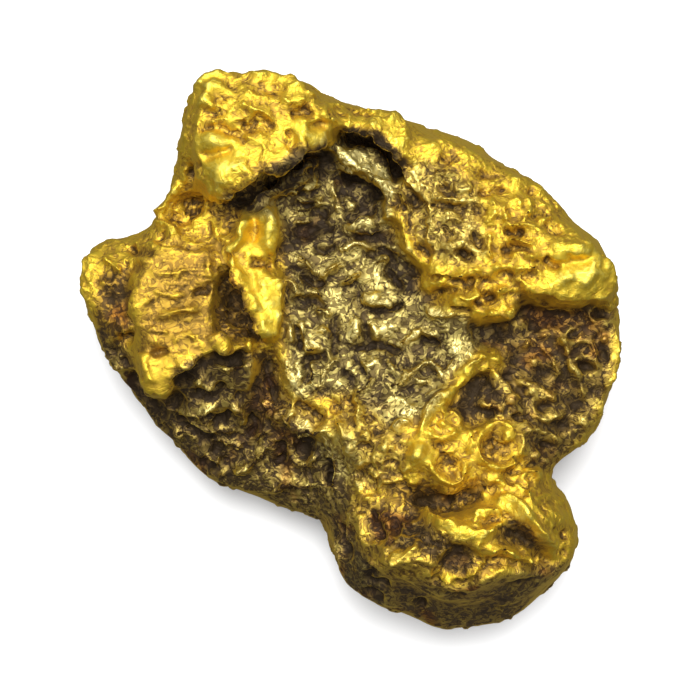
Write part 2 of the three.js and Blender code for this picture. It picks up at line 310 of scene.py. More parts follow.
def keep_one_piece(piece):
    """Keeps what hangs together with the highest vertex. Loose crumbs and shut-in bubbles are dropped."""
    mesh = piece.data
    mesh.polygons.foreach_set("select", [False] * len(mesh.polygons))
    mesh.edges.foreach_set("select", [False] * len(mesh.edges))
    places = np.empty(len(mesh.vertices) * 3, np.float32)
    mesh.vertices.foreach_get("co", places)
    chosen = np.zeros(len(mesh.vertices), bool)
    chosen[np.argmax(places[2::3])] = True
    mesh.vertices.foreach_set("select", chosen)
    only(piece)
    bpy.ops.object.mode_set(mode="EDIT")
    bpy.ops.mesh.select_mode(type="VERT")
    bpy.ops.mesh.select_linked()
    bpy.ops.mesh.select_all(action="INVERT")
    bpy.ops.mesh.delete(type="VERT")
    bpy.ops.object.mode_set(mode="OBJECT")


def rough_copy():
    """A copy of the plain solid, in millimetres, with its loose triangles joined and its facets rounded."""
    only(frame["nodes"]["nugget"])
    bpy.ops.object.duplicate()
    piece = bpy.context.view_layer.objects.active
    piece.name = "gold_nugget"
    piece.parent = None
    piece.data.materials.clear()
    piece.data.transform(Matrix.Scale(1 / MM, 4))
    bpy.ops.object.mode_set(mode="EDIT")
    bpy.ops.mesh.select_all(action="SELECT")
    bpy.ops.mesh.remove_doubles(threshold=LOOSE_GAP)
    bpy.ops.object.mode_set(mode="OBJECT")
    apply(piece, "SUBSURF", levels=ROUNDING, render_levels=ROUNDING)
    return piece


# ---------------------------------------------------------------------------------------------------------
# The steps between the masses, and then the strokes, with one function for each mass

def set_levels(clay):
    """The steps between the masses, cut with steep walls before the finer strokes."""
    # The top of the shoulder
    clay.level([(-4.9, 5.4), (-4.4, 4.9), (-3.9, 5.15), (-3.3, 5.5), (-2.8, 5.85), (-2.2, 5.95), (-1.8, 6.3),
                (-1.5, 6.7), (-1.05, 6.5), (-0.5, 6.95), (-0.6, 7.6), (-2.0, 8.0), (-3.6, 8.4), (-4.5, 8.3),
                (-4.9, 7.6), (-5.0, 6.5)], 6.6, share=0.7)
    # The shelf below its edge
    clay.level([(-4.2, 4.5), (-3.3, 5.2), (-2.6, 5.6), (-1.9, 5.7), (-1.4, 6.3), (-1.0, 6.1), (-1.2, 5.6),
                (-2.0, 5.1), (-2.8, 4.7), (-3.5, 4.2)], 5.55, soft=0.3)
    # The pocket under the curled rim
    clay.level([(-0.4, 6.85), (0.4, 6.95), (1.0, 6.7), (1.5, 6.1), (1.65, 5.4), (1.35, 5.4), (1.05, 6.1),
                (0.5, 6.45), (-0.4, 6.5)], 5.0)
    # The pocket at the far end of the well
    clay.level([(-0.5, 5.6), (0.7, 5.4), (0.9, 5.0), (0.85, 4.3), (-0.2, 4.3)], 4.4)
    # The inner rim of the cheek
    clay.level([(1.45, 4.6), (1.7, 3.6), (2.0, 3.0), (2.6, 2.65), (2.9, 3.0), (2.5, 4.0), (1.9, 4.8)], 5.85,
               share=0.8)
    # The gutter along that rim
    clay.level([(0.9, 4.2), (1.35, 4.1), (1.65, 3.3), (2.05, 2.65), (1.6, 2.4), (1.0, 3.0)], 4.6)
    # The pillow at the near edge of the cheek
    clay.level([(5.3, 1.85), (6.3, 1.65), (7.0, 1.45), (7.8, 1.5), (8.45, 1.7), (8.6, 2.3), (8.2, 3.0),
                (7.0, 3.0), (5.6, 2.8), (5.1, 2.4)], 6.0, soft=0.14, tilt=(-0.2, 0.0))
    # The foot of the cliff below the pillow
    clay.level([(5.45, 1.5), (6.3, 1.4), (7.0, 1.25), (8.0, 1.3), (8.3, 0.6), (6.5, 0.3), (5.3, 0.5)], 4.5,
               soft=0.14)
    # The folded end of the lip
    clay.level([(4.0, 1.15), (4.6, 1.05), (5.2, 1.0), (5.45, 1.5), (5.3, 2.1), (4.6, 2.3), (4.1, 1.8)], 5.85)
    # The dark step below the lip
    clay.level([(3.9, 0.85), (4.6, 0.85), (5.4, 0.9), (5.4, 0.2), (4.5, 0.1), (4.0, 0.4)], 4.7)
    # The dark face of the spur
    clay.level([(4.25, -0.6), (4.9, -1.0), (5.5, -1.9), (4.6, -2.2), (3.75, -2.25)], 5.15, soft=0.3)
    # The valley between waist and lobe
    clay.level([(1.3, -4.2), (2.5, -4.3), (3.3, -4.6), (4.2, -4.35), (4.5, -4.6), (3.6, -5.0), (2.5, -5.1),
                (1.4, -5.1)], 5.5, soft=0.4)
    # The plate
    clay.level([(-6.8, 3.1), (-4.4, 3.2), (-4.3, 0.6), (-3.1, 0.15), (-3.9, 0.0), (-5.2, -0.3), (-5.65, -0.7),
                (-5.9, -1.35), (-6.35, -1.45), (-6.75, -0.8)], 5.55, soft=0.3, share=0.85)
    # The wall in front of the plate
    clay.level([(-5.6, -1.1), (-5.1, -0.6), (-4.0, -0.3), (-3.0, -0.3), (-3.1, -1.3), (-4.0, -2.0),
                (-5.3, -2.0)], 4.95, soft=0.35, tilt=(0.0, 0.75))
    # The socket
    clay.level([(-4.25, 0.5), (-4.25, 1.9), (-3.9, 2.6), (-3.5, 2.1), (-3.15, 1.3), (-2.9, 0.5),
                (-3.4, 0.4)], 4.75, soft=0.3, tilt=(-0.5, 0.0))
    # The flap
    clay.level([(-3.9, 3.1), (-3.5, 2.55), (-2.5, 2.4), (-2.2, 1.8), (-2.2, 1.2), (-2.6, 0.3), (-3.1, 1.3)],
               5.75, soft=0.16)
    # The far flap
    clay.level([(-3.9, 3.2), (-3.5, 3.8), (-3.3, 4.4), (-2.5, 4.6), (-2.4, 3.4), (-2.8, 3.05), (-3.3, 3.2)],
               5.65, soft=0.16)
    # The hollow of the finger
    clay.level([(-8.0, 2.3), (-7.4, 2.4), (-7.2, 1.2), (-7.5, 0.5), (-8.0, 0.8), (-8.1, 1.6)], 4.85, soft=0.4)
    # The gap between flap and waist
    clay.level([(-2.9, -0.2), (-2.55, -0.1), (-2.25, -1.0), (-2.15, -1.8), (-2.6, -1.7), (-2.9, -1.0)], 4.4,
               soft=0.3)
    clay.press()
    clay.read()


def shape_shoulder(clay):
    """The high mass at the far left, which overhangs the well."""
    clay.ledge([(-4.75, 5.1), (-4.35, 4.7), (-3.9, 5.0), (-3.4, 5.35), (-2.9, 5.75), (-2.2, 5.85),
                (-1.85, 6.2), (-1.5, 6.6), (-1.05, 6.35), (-0.5, 6.9)], high=0.3, low=1.1, width=0.16,
               reach=0.6, shove=0.3)
    clay.spot(-4.35, 6.55, 0.5, 0.36, 0, 0.22)
    clay.spot(-4.15, 5.65, 0.5, 0.45, 30, 0.25)
    clay.ridges(0.24, 0.2, [
        [(-4.95, 8.1), (-4.75, 8.6), (-4.3, 8.85), (-3.7, 8.9)],
        [(-3.6, 8.85), (-3.0, 8.75), (-2.4, 8.65), (-1.8, 8.4), (-1.2, 8.15)],
        [(-4.8, 7.9), (-4.4, 7.8), (-4.3, 7.5)],
        [(-3.7, 7.9), (-3.2, 7.6), (-2.7, 7.4), (-2.2, 7.15)],
        [(-2.2, 8.25), (-1.6, 8.05), (-0.9, 8.0)],
        [(-3.0, 6.15), (-2.4, 6.1), (-1.95, 6.3), (-1.65, 6.75), (-1.6, 7.1)],
        [(-4.0, 5.35), (-3.7, 5.8), (-3.2, 6.1)],
    ])
    clay.ridges(0.16, 0.12, [
        [(-4.7, 5.4), (-4.55, 5.0), (-4.2, 4.85), (-3.85, 5.15)],
        [(-4.85, 8.45), (-4.4, 8.3), (-4.2, 8.6)],
        [(-2.95, 7.0), (-2.7, 6.7), (-2.45, 6.9)],
        [(-2.3, 7.9), (-1.8, 7.75), (-1.3, 7.8)],
        [(-1.85, 7.4), (-1.4, 7.2), (-0.95, 7.35)],
        [(-3.4, 8.4), (-3.2, 8.15), (-2.9, 8.0), (-2.4, 8.1)],
        [(-4.5, 7.25), (-4.1, 7.35), (-3.7, 7.15)],
        [(-0.4, 7.9), (0.1, 7.75), (0.6, 7.8)],
        [(-3.3, 6.9), (-2.9, 6.55), (-2.6, 6.35)],
        [(-5.4, 6.0), (-5.35, 5.6), (-5.15, 5.4)],
    ])
    clay.grooves(0.26, 0.13, [
        [(-4.95, 6.95), (-4.3, 7.0), (-3.7, 6.85), (-3.25, 6.4)],
        [(-4.8, 6.15), (-4.2, 6.15), (-3.6, 6.45)],
        [(-3.45, 7.35), (-3.2, 7.0), (-2.8, 7.2), (-2.3, 6.8)],
        [(-2.0, 7.55), (-1.6, 7.45), (-1.1, 7.6)],
        [(-1.4, 7.05), (-1.0, 7.1), (-0.5, 7.1)],
        [(-2.0, 7.0), (-1.9, 6.7), (-2.1, 6.45)],
        [(-0.4, 8.1), (0.3, 7.6), (0.9, 7.4)],
    ])
    clay.hollows(0.32, [(-3.75, 8.45, 0.35, 0.28, -30), (-2.75, 8.25, 0.38, 0.2, 5),
                        (-4.05, 7.95, 0.3, 0.18, -10), (-4.2, 7.45, 0.3, 0.12, 0),
                        (-1.5, 7.6, 0.25, 0.14, 0), (-3.25, 8.6, 0.2, 0.12, 0)])
    clay.ring(-0.45, 7.55, 0.36, 0.3, 20, rim=0.22, depth=0.25, width=0.13)
    clay.spot(-5.0, 5.7, 0.26, 0.24, 0, -0.5, 3.0)
    clay.spot(-3.35, 5.75, 0.35, 0.25, 0, 0.1)


def shape_curl(clay):
    """The rim that curls round the far end of the well, with a rough tongue of gold below it."""
    clay.ledge([(-0.5, 7.0), (0.3, 7.1), (0.9, 6.95), (1.4, 6.5), (1.75, 6.0), (1.85, 5.5)],
               high=0.25, low=1.0, width=0.15, reach=0.5, shove=0.25)
    clay.ridges(0.22, 0.18, [
        [(0.0, 7.25), (0.5, 7.3), (1.0, 7.05), (1.5, 6.65), (1.85, 6.2), (2.0, 5.7)],
        [(0.5, 7.8), (1.0, 7.6), (1.5, 7.35), (1.8, 6.9)],
    ])
    clay.lumps(0.22, [(0.65, 7.7, 0.28, 0.2, -20), (1.4, 7.35, 0.25, 0.25), (1.75, 6.9, 0.2, 0.25)])
    clay.ridge([(-0.9, 6.35), (-0.3, 6.25), (0.3, 6.1), (0.8, 5.85), (1.15, 5.5), (1.2, 5.1), (1.1, 4.7)],
               0.7, 0.34)
    clay.lumps(0.2, [(-0.6, 6.45, 0.3, 0.12, 15), (0.0, 5.95, 0.16, 0.2), (0.35, 5.85, 0.15, 0.2),
                     (0.75, 5.75, 0.15, 0.15), (1.1, 5.5, 0.16, 0.16), (1.15, 5.15, 0.14, 0.16)])
    clay.grooves(0.45, 0.16, [
        [(-0.6, 5.75), (0.0, 5.55), (0.6, 5.45), (0.85, 5.1), (0.85, 4.6)],
        [(1.35, 5.9), (1.5, 5.4), (1.6, 5.0)],
        [(1.75, 5.3), (1.85, 4.95), (2.0, 4.6)],
    ])
    clay.ridges(0.34, 0.13, [
        [(1.1, 4.9), (1.35, 4.5), (1.6, 4.1), (1.8, 3.6), (1.95, 3.2), (2.3, 2.75)],
        [(1.55, 5.6), (1.6, 5.2), (1.7, 4.8), (1.75, 4.4)],
        [(2.0, 5.9), (1.95, 5.4), (2.1, 5.0)],
    ])
    clay.ledge([(2.5, 2.7), (2.0, 3.1), (1.75, 3.6), (1.5, 4.2), (1.2, 4.8)], high=0.2, low=0.5, width=0.13,
               reach=0.45)


def shape_well(clay):
    """The big hollow in the middle, floored with crumpled leaves of gold."""
    clay.grooves(0.2, 0.3, [
        [(-4.0, 4.7), (-3.3, 5.0), (-2.6, 5.4), (-2.0, 5.4), (-1.3, 5.85)],
        [(-2.1, 3.8), (-1.5, 3.85), (-0.9, 4.1), (-0.4, 3.7)],
    ])
    clay.grooves(0.27, 0.15, [
        [(-2.1, 3.6), (-2.15, 3.0), (-1.95, 2.5), (-1.9, 2.1)],
        [(0.0, 3.65), (0.6, 3.65), (1.3, 3.75)],
        [(1.0, 3.4), (1.4, 3.0), (1.3, 2.5), (1.6, 2.1), (1.6, 1.6)],
        [(-0.5, 1.2), (-0.45, 0.7), (-0.5, 0.1), (-0.3, -0.3)],
        [(-0.4, 0.1), (0.3, 0.1), (1.0, 0.15), (1.5, -0.05), (2.0, 0.05)],
        [(0.4, 1.45), (0.9, 1.3), (1.4, 1.35), (1.8, 1.55)],
        [(-1.5, -0.2), (-1.1, -0.25), (-0.7, -0.1)],
        [(0.4, 2.1), (0.35, 1.6), (0.5, 1.2)],
        [(-0.2, -0.5), (0.0, -0.9), (0.3, -1.1)],
        [(-1.6, 2.5), (-1.2, 2.05), (-0.7, 2.15)],
        [(1.9, 2.9), (2.1, 2.3), (2.0, 1.7)],
        [(-0.6, 4.4), (-0.9, 4.5), (-1.3, 4.45)],
        [(2.2, 0.6), (2.6, 0.3), (3.0, 0.1)],
    ])
    clay.grooves(0.26, 0.1, [
        [(-1.9, 2.85), (-1.5, 2.45), (-1.2, 2.0)],
        [(-1.5, 2.85), (-1.25, 2.45), (-0.95, 2.2), (-0.6, 2.35), (-0.2, 2.65)],
        [(-1.9, 4.75), (-1.4, 4.65), (-1.0, 4.75)],
        [(-1.8, 5.1), (-1.3, 5.05), (-0.9, 5.25)],
        [(-0.5, 2.0), (0.0, 2.05), (0.3, 2.3)],
        [(-1.9, 1.8), (-1.5, 1.5), (-1.1, 1.6), (-0.8, 1.3)],
        [(-1.75, 0.9), (-1.7, 0.4), (-1.6, -0.1)],
        [(-1.45, -0.1), (-1.4, -0.8), (-1.55, -1.3)],
        [(0.1, -0.1), (0.3, -0.5), (0.6, -0.9)],
        [(0.5, 0.9), (0.6, 0.5), (0.65, 0.2)],
        [(0.4, 3.2), (0.9, 3.1), (1.3, 3.3)],
        [(-1.3, 3.3), (-0.8, 3.2), (-0.3, 3.4)],
    ])
    clay.ridges(0.36, 0.13, [
        [(-1.05, 2.15), (-0.75, 2.5), (-0.4, 2.75), (-0.05, 2.85)],
        [(-0.45, 2.05), (0.0, 2.25), (0.45, 2.5)],
        [(0.45, 2.0), (0.6, 1.7), (0.85, 1.75), (1.0, 1.95)],
        [(-0.3, 4.05), (0.1, 3.95), (0.5, 4.1), (0.9, 4.1)],
        [(1.4, 0.1), (1.8, 0.25), (2.1, 0.5), (2.15, 0.9)],
        [(1.05, -1.3), (1.5, -1.1), (1.9, -0.8), (2.3, -0.5), (2.6, -0.2)],
        [(-1.6, 0.0), (-1.2, 0.0), (-0.85, 0.1)],
        [(0.65, 1.0), (0.8, 0.6), (0.85, 0.2)],
    ])
    clay.ridges(0.26, 0.11, [
        [(-1.9, 3.0), (-1.4, 2.75), (-1.1, 2.3)],
        [(-0.6, 5.6), (-0.5, 5.0), (-0.35, 4.5), (-0.2, 4.1)],
        [(-2.1, 4.95), (-1.6, 5.15), (-1.2, 5.3), (-0.9, 5.6)],
        [(-1.8, 4.9), (-1.3, 4.85), (-0.8, 5.05)],
        [(-1.9, 4.5), (-1.4, 4.5), (-1.0, 4.65), (-0.7, 4.75)],
        [(-1.9, 4.15), (-1.5, 4.15), (-1.2, 4.3)],
        [(-0.2, 4.65), (0.0, 4.6), (0.2, 4.75)],
        [(-0.2, 4.9), (0.0, 4.85)],
        [(-0.5, 3.5), (-0.2, 3.3), (0.3, 3.45), (0.8, 3.35)],
        [(1.0, 3.1), (1.2, 2.8), (1.5, 2.75)],
        [(-2.0, 2.4), (-1.8, 1.9), (-1.5, 1.7)],
        [(-1.4, 1.7), (-1.1, 1.85), (-0.7, 1.75)],
        [(-1.2, 1.2), (-0.9, 1.3), (-0.7, 1.0)],
        [(-2.0, 1.1), (-1.9, 0.6), (-1.85, 0.1)],
        [(-1.6, 1.1), (-1.5, 0.5), (-1.45, 0.0)],
        [(-1.25, 0.6), (-0.9, 0.7), (-0.7, 0.5)],
        [(0.05, 1.1), (0.2, 0.7), (0.3, 0.35)],
        [(0.3, 1.65), (0.9, 1.5), (1.4, 1.55)],
        [(-0.9, -1.1), (-0.8, -0.7), (-0.5, -0.35), (-0.2, -0.3)],
        [(0.15, -0.2), (0.45, -0.5), (0.7, -0.9)],
        [(0.0, -1.2), (0.4, -1.35), (0.75, -1.05), (0.9, -0.8)],
        [(1.2, -0.3), (1.4, -0.6), (1.3, -0.9)],
        [(-1.3, -1.5), (-1.0, -1.2), (-0.8, -0.95)],
        [(-1.7, -0.2), (-1.65, -0.8), (-1.75, -1.3)],
        [(-1.3, -0.3), (-1.2, -0.8), (-1.35, -1.3)],
        [(-2.0, -0.1), (-1.95, -0.7), (-1.9, -1.2)],
        [(2.2, 0.9), (2.5, 0.6), (2.9, 0.4)],
        [(2.4, -0.4), (2.8, -0.6), (3.1, -1.0)],
        [(3.1, -0.7), (3.3, -0.5), (3.4, -0.3)],
        [(2.0, -1.0), (2.4, -1.0), (2.7, -0.9)],
    ])
    clay.lumps(0.16, [(0.85, 2.4, 0.3, 0.25), (1.1, 0.65, 0.25, 0.35), (0.8, -0.45, 0.25, 0.35, 30),
                      (0.2, 0.6, 0.25, 0.35), (1.55, 0.7, 0.25, 0.25), (1.4, 3.3, 0.2, 0.15),
                      (0.9, 2.9, 0.2, 0.12), (1.3, -1.5, 0.2, 0.15), (1.7, -1.6, 0.2, 0.15)])
    clay.spot(3.6, 0.0, 0.42, 0.4, 0, 0.3)
    clay.spot(1.9, -1.95, 0.6, 0.32, 10, 0.22)


def shape_cheek(clay):
    """The right mass, with a dull basin on its inner side and a bright rim on its outer side."""
    clay.spot(3.0, 4.7, 1.2, 1.3, 20, -0.35)
    clay.ridges(0.2, 0.22, [
        [(2.1, 6.3), (2.5, 6.55), (3.0, 6.7), (3.5, 6.65), (4.0, 6.4), (4.6, 6.1)],
        [(4.9, 5.7), (5.4, 5.45), (5.9, 5.35), (6.3, 5.0)],
        [(6.2, 3.35), (6.8, 3.25), (7.4, 3.3), (7.9, 3.1)],
    ])
    clay.ridges(0.22, 0.12, [
        [(4.25, 4.85), (4.55, 4.7), (4.6, 4.4), (4.4, 4.15), (4.15, 4.05)],
        [(4.85, 4.85), (4.85, 4.5), (4.95, 4.2), (5.2, 4.1)],
        [(5.2, 4.95), (5.35, 4.6), (5.25, 4.3)],
        [(5.55, 4.9), (5.65, 4.55), (5.5, 4.2), (5.7, 4.1)],
        [(5.8, 5.0), (6.1, 5.1), (6.5, 4.9), (6.7, 4.5)],
        [(4.4, 3.9), (4.45, 3.5), (4.35, 3.1), (4.6, 2.9)],
        [(4.8, 3.95), (5.3, 4.0), (5.8, 3.85), (6.3, 3.65)],
        [(4.85, 3.45), (5.3, 3.5), (5.6, 3.35), (6.0, 3.4)],
        [(5.0, 3.0), (5.5, 3.05), (6.0, 2.95)],
        [(5.0, 2.6), (5.6, 2.6), (6.1, 2.5)],
        [(6.3, 2.75), (6.7, 2.95), (7.0, 2.9)],
        [(6.6, 4.1), (7.0, 3.95), (7.5, 3.6)],
        [(2.35, 4.95), (2.9, 4.85), (3.4, 4.75), (3.9, 4.75)],
        [(2.1, 5.9), (2.2, 5.4), (2.4, 5.2)],
        [(2.6, 5.75), (3.0, 5.6), (3.3, 5.75)],
        [(3.2, 5.3), (3.6, 5.2), (3.9, 5.35)],
        [(2.3, 4.3), (2.5, 3.9), (2.4, 3.5), (2.7, 3.3)],
        [(2.8, 4.2), (3.3, 4.2), (3.7, 4.1)],
        [(3.0, 3.5), (3.3, 3.35), (3.3, 2.95)],
        [(2.1, 4.1), (2.1, 3.6), (2.3, 3.2)],
        [(7.2, 4.5), (7.6, 4.1), (8.0, 3.7)],
    ])
    clay.grooves(0.26, 0.12, [
        [(2.2, 4.65), (2.9, 4.55), (3.4, 4.5), (3.9, 4.45)],
        [(4.1, 5.1), (4.6, 5.15), (5.1, 5.1)],
        [(4.85, 3.7), (5.2, 3.75), (5.55, 3.65)],
        [(6.2, 3.95), (6.6, 3.85), (6.9, 3.7)],
        [(4.65, 3.3), (4.9, 3.2), (5.4, 3.25), (5.9, 3.15)],
        [(6.1, 2.9), (6.4, 2.75), (6.7, 2.6)],
        [(4.6, 2.35), (5.3, 2.35), (6.0, 2.25)],
        [(2.7, 3.85), (3.1, 3.75), (3.4, 3.55)],
        [(3.8, 3.75), (4.1, 3.5), (4.1, 3.2)],
        [(2.0, 5.2), (2.05, 4.8), (2.2, 4.5)],
        [(5.85, 4.1), (5.95, 4.5), (5.9, 4.75)],
        [(6.6, 5.0), (7.0, 4.7), (7.2, 4.4)],
        [(2.6, 5.3), (2.9, 5.25), (3.1, 5.4)],
    ])
    clay.hollows(0.3, [(3.2, 6.2, 0.32, 0.17, 5), (4.4, 5.7, 0.3, 0.15, 5), (5.85, 5.1, 0.2, 0.1, 0),
                       (4.15, 4.4, 0.2, 0.2), (2.15, 4.5, 0.12, 0.2)])
    clay.spot(3.65, 3.05, 0.25, 0.16, -10, -0.7, 3.0)
    clay.ring(6.2, 4.4, 0.3, 0.28, 0, rim=0.16, depth=0.15, width=0.1)
    clay.lumps(0.3, [(7.8, 2.6, 0.6, 0.5), (7.0, 2.3, 0.7, 0.35)])


def shape_lip(clay):
    """Folded layers along the near edge of the cheek, and the cliff below them."""
    clay.ridge([(5.3, 2.1), (5.9, 2.05), (6.5, 1.9), (7.1, 1.8), (7.8, 1.85), (8.4, 2.0)], 0.12, 0.25)
    clay.ridges(0.34, 0.16, [
        [(2.3, 2.65), (2.8, 2.55), (3.3, 2.4), (4.0, 2.4)],
        [(2.35, 2.05), (2.8, 2.15), (3.2, 2.3)],
        [(2.4, 1.55), (2.7, 1.25), (3.1, 1.2), (3.6, 1.3)],
        [(4.1, 1.2), (4.5, 1.25), (5.0, 1.2), (5.3, 1.5)],
        [(4.5, 1.7), (4.9, 2.0), (5.3, 2.0)],
        [(3.2, 1.6), (3.5, 1.75), (3.9, 1.75), (4.2, 1.9)],
    ])
    clay.lumps(0.16, [(3.35, 1.5, 0.2, 0.14), (3.7, 1.5, 0.14, 0.14), (4.0, 2.6, 0.2, 0.1),
                      (4.7, 2.6, 0.2, 0.12), (4.9, 1.5, 0.2, 0.2), (2.6, 2.3, 0.2, 0.1)])
    clay.grooves(0.3, 0.1, [
        [(2.4, 2.35), (3.0, 2.35), (3.6, 2.15), (4.2, 2.15), (4.7, 2.1)],
        [(2.4, 1.8), (3.0, 1.9), (3.6, 1.95), (4.2, 2.05)],
        [(3.95, 1.4), (4.3, 1.6), (4.7, 1.7)],
        [(3.1, 1.4), (3.5, 1.3), (3.9, 1.1)],
        [(4.2, 1.05), (4.7, 1.1), (5.1, 1.15)],
    ])
    clay.spot(2.65, 1.65, 0.25, 0.18, 0, -0.28)
    clay.spot(4.9, 0.55, 0.45, 0.3, -15, -0.15)


def shape_east_face(clay):
    """The pitted hollow face below the cliff at the right."""
    clay.ring(8.15, 1.2, 0.38, 0.34, 0, rim=0.2, depth=0.3)
    clay.ring(7.65, -0.5, 0.4, 0.28, -20, rim=0.2, depth=0.25)
    clay.ring(6.25, -1.8, 0.36, 0.26, 0, rim=0.16, depth=0.2)
    clay.ring(5.4, -2.2, 0.3, 0.28, 0, rim=0.16, depth=0.15)
    clay.ring(7.25, 0.5, 0.28, 0.24, 30, rim=0.16, depth=0.15)
    clay.hollows(0.25, [(8.25, -0.2, 0.2, 0.25), (8.05, -1.35, 0.25, 0.2), (7.3, -1.7, 0.3, 0.25),
                        (6.9, -1.15, 0.25, 0.2), (5.5, -0.3, 0.35, 0.3), (6.3, -0.75, 0.3, 0.22),
                        (5.1, -0.9, 0.3, 0.15), (6.6, 0.9, 0.25, 0.15), (4.3, -1.95, 0.35, 0.15),
                        (6.4, -3.05, 0.28, 0.13), (5.8, -3.75, 0.3, 0.12), (5.2, -3.95, 0.3, 0.1),
                        (6.9, -2.4, 0.3, 0.2), (5.9, 0.75, 0.2, 0.15)])
    clay.lumps(0.25, [(5.6, 0.9, 0.22, 0.2), (6.3, 0.55, 0.25, 0.2), (5.75, 0.25, 0.2, 0.15),
                      (6.85, 0.3, 0.15, 0.2), (6.0, -0.35, 0.2, 0.15), (5.2, -1.6, 0.2, 0.15),
                      (5.9, -1.4, 0.2, 0.12), (4.8, -2.1, 0.2, 0.12), (6.6, -2.2, 0.25, 0.12),
                      (5.9, -3.35, 0.2, 0.16), (8.2, -1.95, 0.25, 0.3), (7.6, -2.3, 0.3, 0.25),
                      (7.7, 0.3, 0.15, 0.12), (8.3, 0.35, 0.15, 0.15)])
    clay.ridges(0.26, 0.12, [
        [(6.9, 0.9), (6.75, 0.5), (7.0, 0.1), (7.2, -0.5), (7.45, -1.0), (7.75, -1.6), (7.7, -2.0)],
        [(7.85, 0.7), (7.9, 0.2), (8.05, -0.4), (8.0, -0.9)],
        [(8.6, 1.0), (8.65, 0.3), (8.6, -0.4), (8.4, -1.0), (8.3, -1.5)],
        [(5.1, -0.85), (5.7, -1.1), (6.3, -1.35), (6.8, -1.8)],
        [(5.3, -2.75), (6.0, -2.6), (6.6, -2.85), (7.1, -3.2)],
        [(6.1, 0.1), (6.5, -0.2), (6.7, -0.7), (6.6, -1.0)],
        [(4.1, -0.5), (4.6, -0.8), (5.0, -1.2), (5.2, -1.7)],
        [(5.7, -2.0), (6.1, -2.25), (6.6, -2.2), (7.0, -2.0)],
        [(4.0, -1.7), (4.5, -1.75), (5.0, -1.95)],
    ])


def shape_spur(clay):
    """The bright crest that runs from the lip down to the waist, with a dark face on its right."""
    clay.ridges(0.42, 0.18, [
        [(5.0, -0.4), (4.5, -0.3), (4.1, -0.35), (3.75, -0.65), (3.4, -0.95)],
        [(3.5, -1.2), (3.0, -1.6), (2.6, -2.0), (2.4, -2.4), (2.2, -2.9)],
    ])
    clay.ledge([(2.9, -2.3), (3.2, -1.8), (3.7, -1.2), (4.1, -0.85), (4.7, -0.7)],
               high=0.1, low=0.4, width=0.16, reach=0.6)
    clay.spot(2.15, -3.3, 0.32, 0.42, -25, 0.4)
    clay.lumps(0.24, [(2.7, -2.75, 0.3, 0.15, -10), (3.0, -2.4, 0.2, 0.15), (3.3, -2.7, 0.22, 0.15),
                      (3.5, -2.2, 0.15, 0.2), (0.0, -3.2, 0.2, 0.2), (0.4, -3.6, 0.2, 0.15),
                      (0.85, -3.45, 0.2, 0.22), (0.9, -3.9, 0.25, 0.12), (1.15, -3.05, 0.15, 0.2),
                      (1.55, -2.5, 0.25, 0.15), (0.35, -4.4, 0.2, 0.25), (0.65, -4.8, 0.25, 0.12),
                      (1.0, -4.4, 0.15, 0.25), (1.3, -4.2, 0.25, 0.12), (0.5, -2.75, 0.15, 0.2),
                      (1.8, -3.75, 0.2, 0.12)])
    clay.ridges(0.32, 0.14, [
        [(0.15, -1.3), (0.3, -1.7), (0.35, -2.1), (0.15, -2.5)],
        [(-0.3, -2.2), (-0.2, -2.6), (0.0, -2.9)],
        [(1.3, -2.6), (1.7, -2.35), (2.1, -2.4)],
        [(2.9, -2.0), (3.2, -2.1), (3.5, -1.9)],
        [(3.6, -2.6), (3.8, -3.0), (3.6, -3.3)],
    ])
    clay.hollows(0.28, [(0.5, -3.1, 0.25, 0.15), (0.9, -2.6, 0.2, 0.2), (1.65, -3.15, 0.3, 0.25, 30),
                        (0.3, -4.0, 0.2, 0.1), (1.4, -3.6, 0.2, 0.15), (-0.1, -1.7, 0.2, 0.3),
                        (0.6, -2.2, 0.2, 0.2), (2.9, -3.1, 0.2, 0.12)])


def shape_cup(clay):
    """The ring pit and the V-shaped cup at the waist, with the brown valley below them."""
    clay.ring(4.65, -3.1, 0.62, 0.6, 0, rim=0.34, depth=0.5, width=0.16)
    clay.ridge([(4.0, -3.4), (4.4, -3.8), (4.9, -3.75), (5.3, -3.3)], 0.18, 0.16)
    clay.ridges(0.34, 0.15, [
        [(2.45, -3.3), (2.7, -3.85), (3.3, -4.2), (3.6, -3.85), (3.8, -3.35)],
        [(5.3, -2.6), (5.45, -3.0), (5.4, -3.5)],
        [(5.2, -4.2), (5.8, -4.0), (6.2, -4.4)],
        [(4.2, -4.3), (4.6, -4.15), (5.0, -4.3)],
    ])
    clay.ridge([(2.5, -4.0), (3.2, -4.5), (3.9, -4.3)], 0.16, 0.16)
    clay.spot(3.15, -3.6, 0.3, 0.35, 0, -0.35)
    clay.lumps(0.14, [(3.1, -3.3, 0.2, 0.1), (3.2, -3.75, 0.15, 0.1), (4.5, -3.15, 0.15, 0.1),
                      (4.8, -3.35, 0.12, 0.1), (4.4, -2.75, 0.15, 0.1), (5.0, -2.9, 0.12, 0.12)])
    clay.spot(4.55, -2.9, 0.1, 0.1, 0, -0.3)
    clay.grooves(0.4, 0.25, [[(1.6, -4.6), (2.2, -4.8), (3.0, -4.85), (3.8, -4.6), (4.3, -4.4)]])
    clay.lumps(0.18, [(5.2, -4.5, 0.2, 0.12), (5.6, -4.35, 0.2, 0.1), (6.0, -3.9, 0.2, 0.2),
                      (4.3, -4.6, 0.15, 0.1), (2.1, -4.2, 0.3, 0.3), (6.3, -3.6, 0.2, 0.2)])


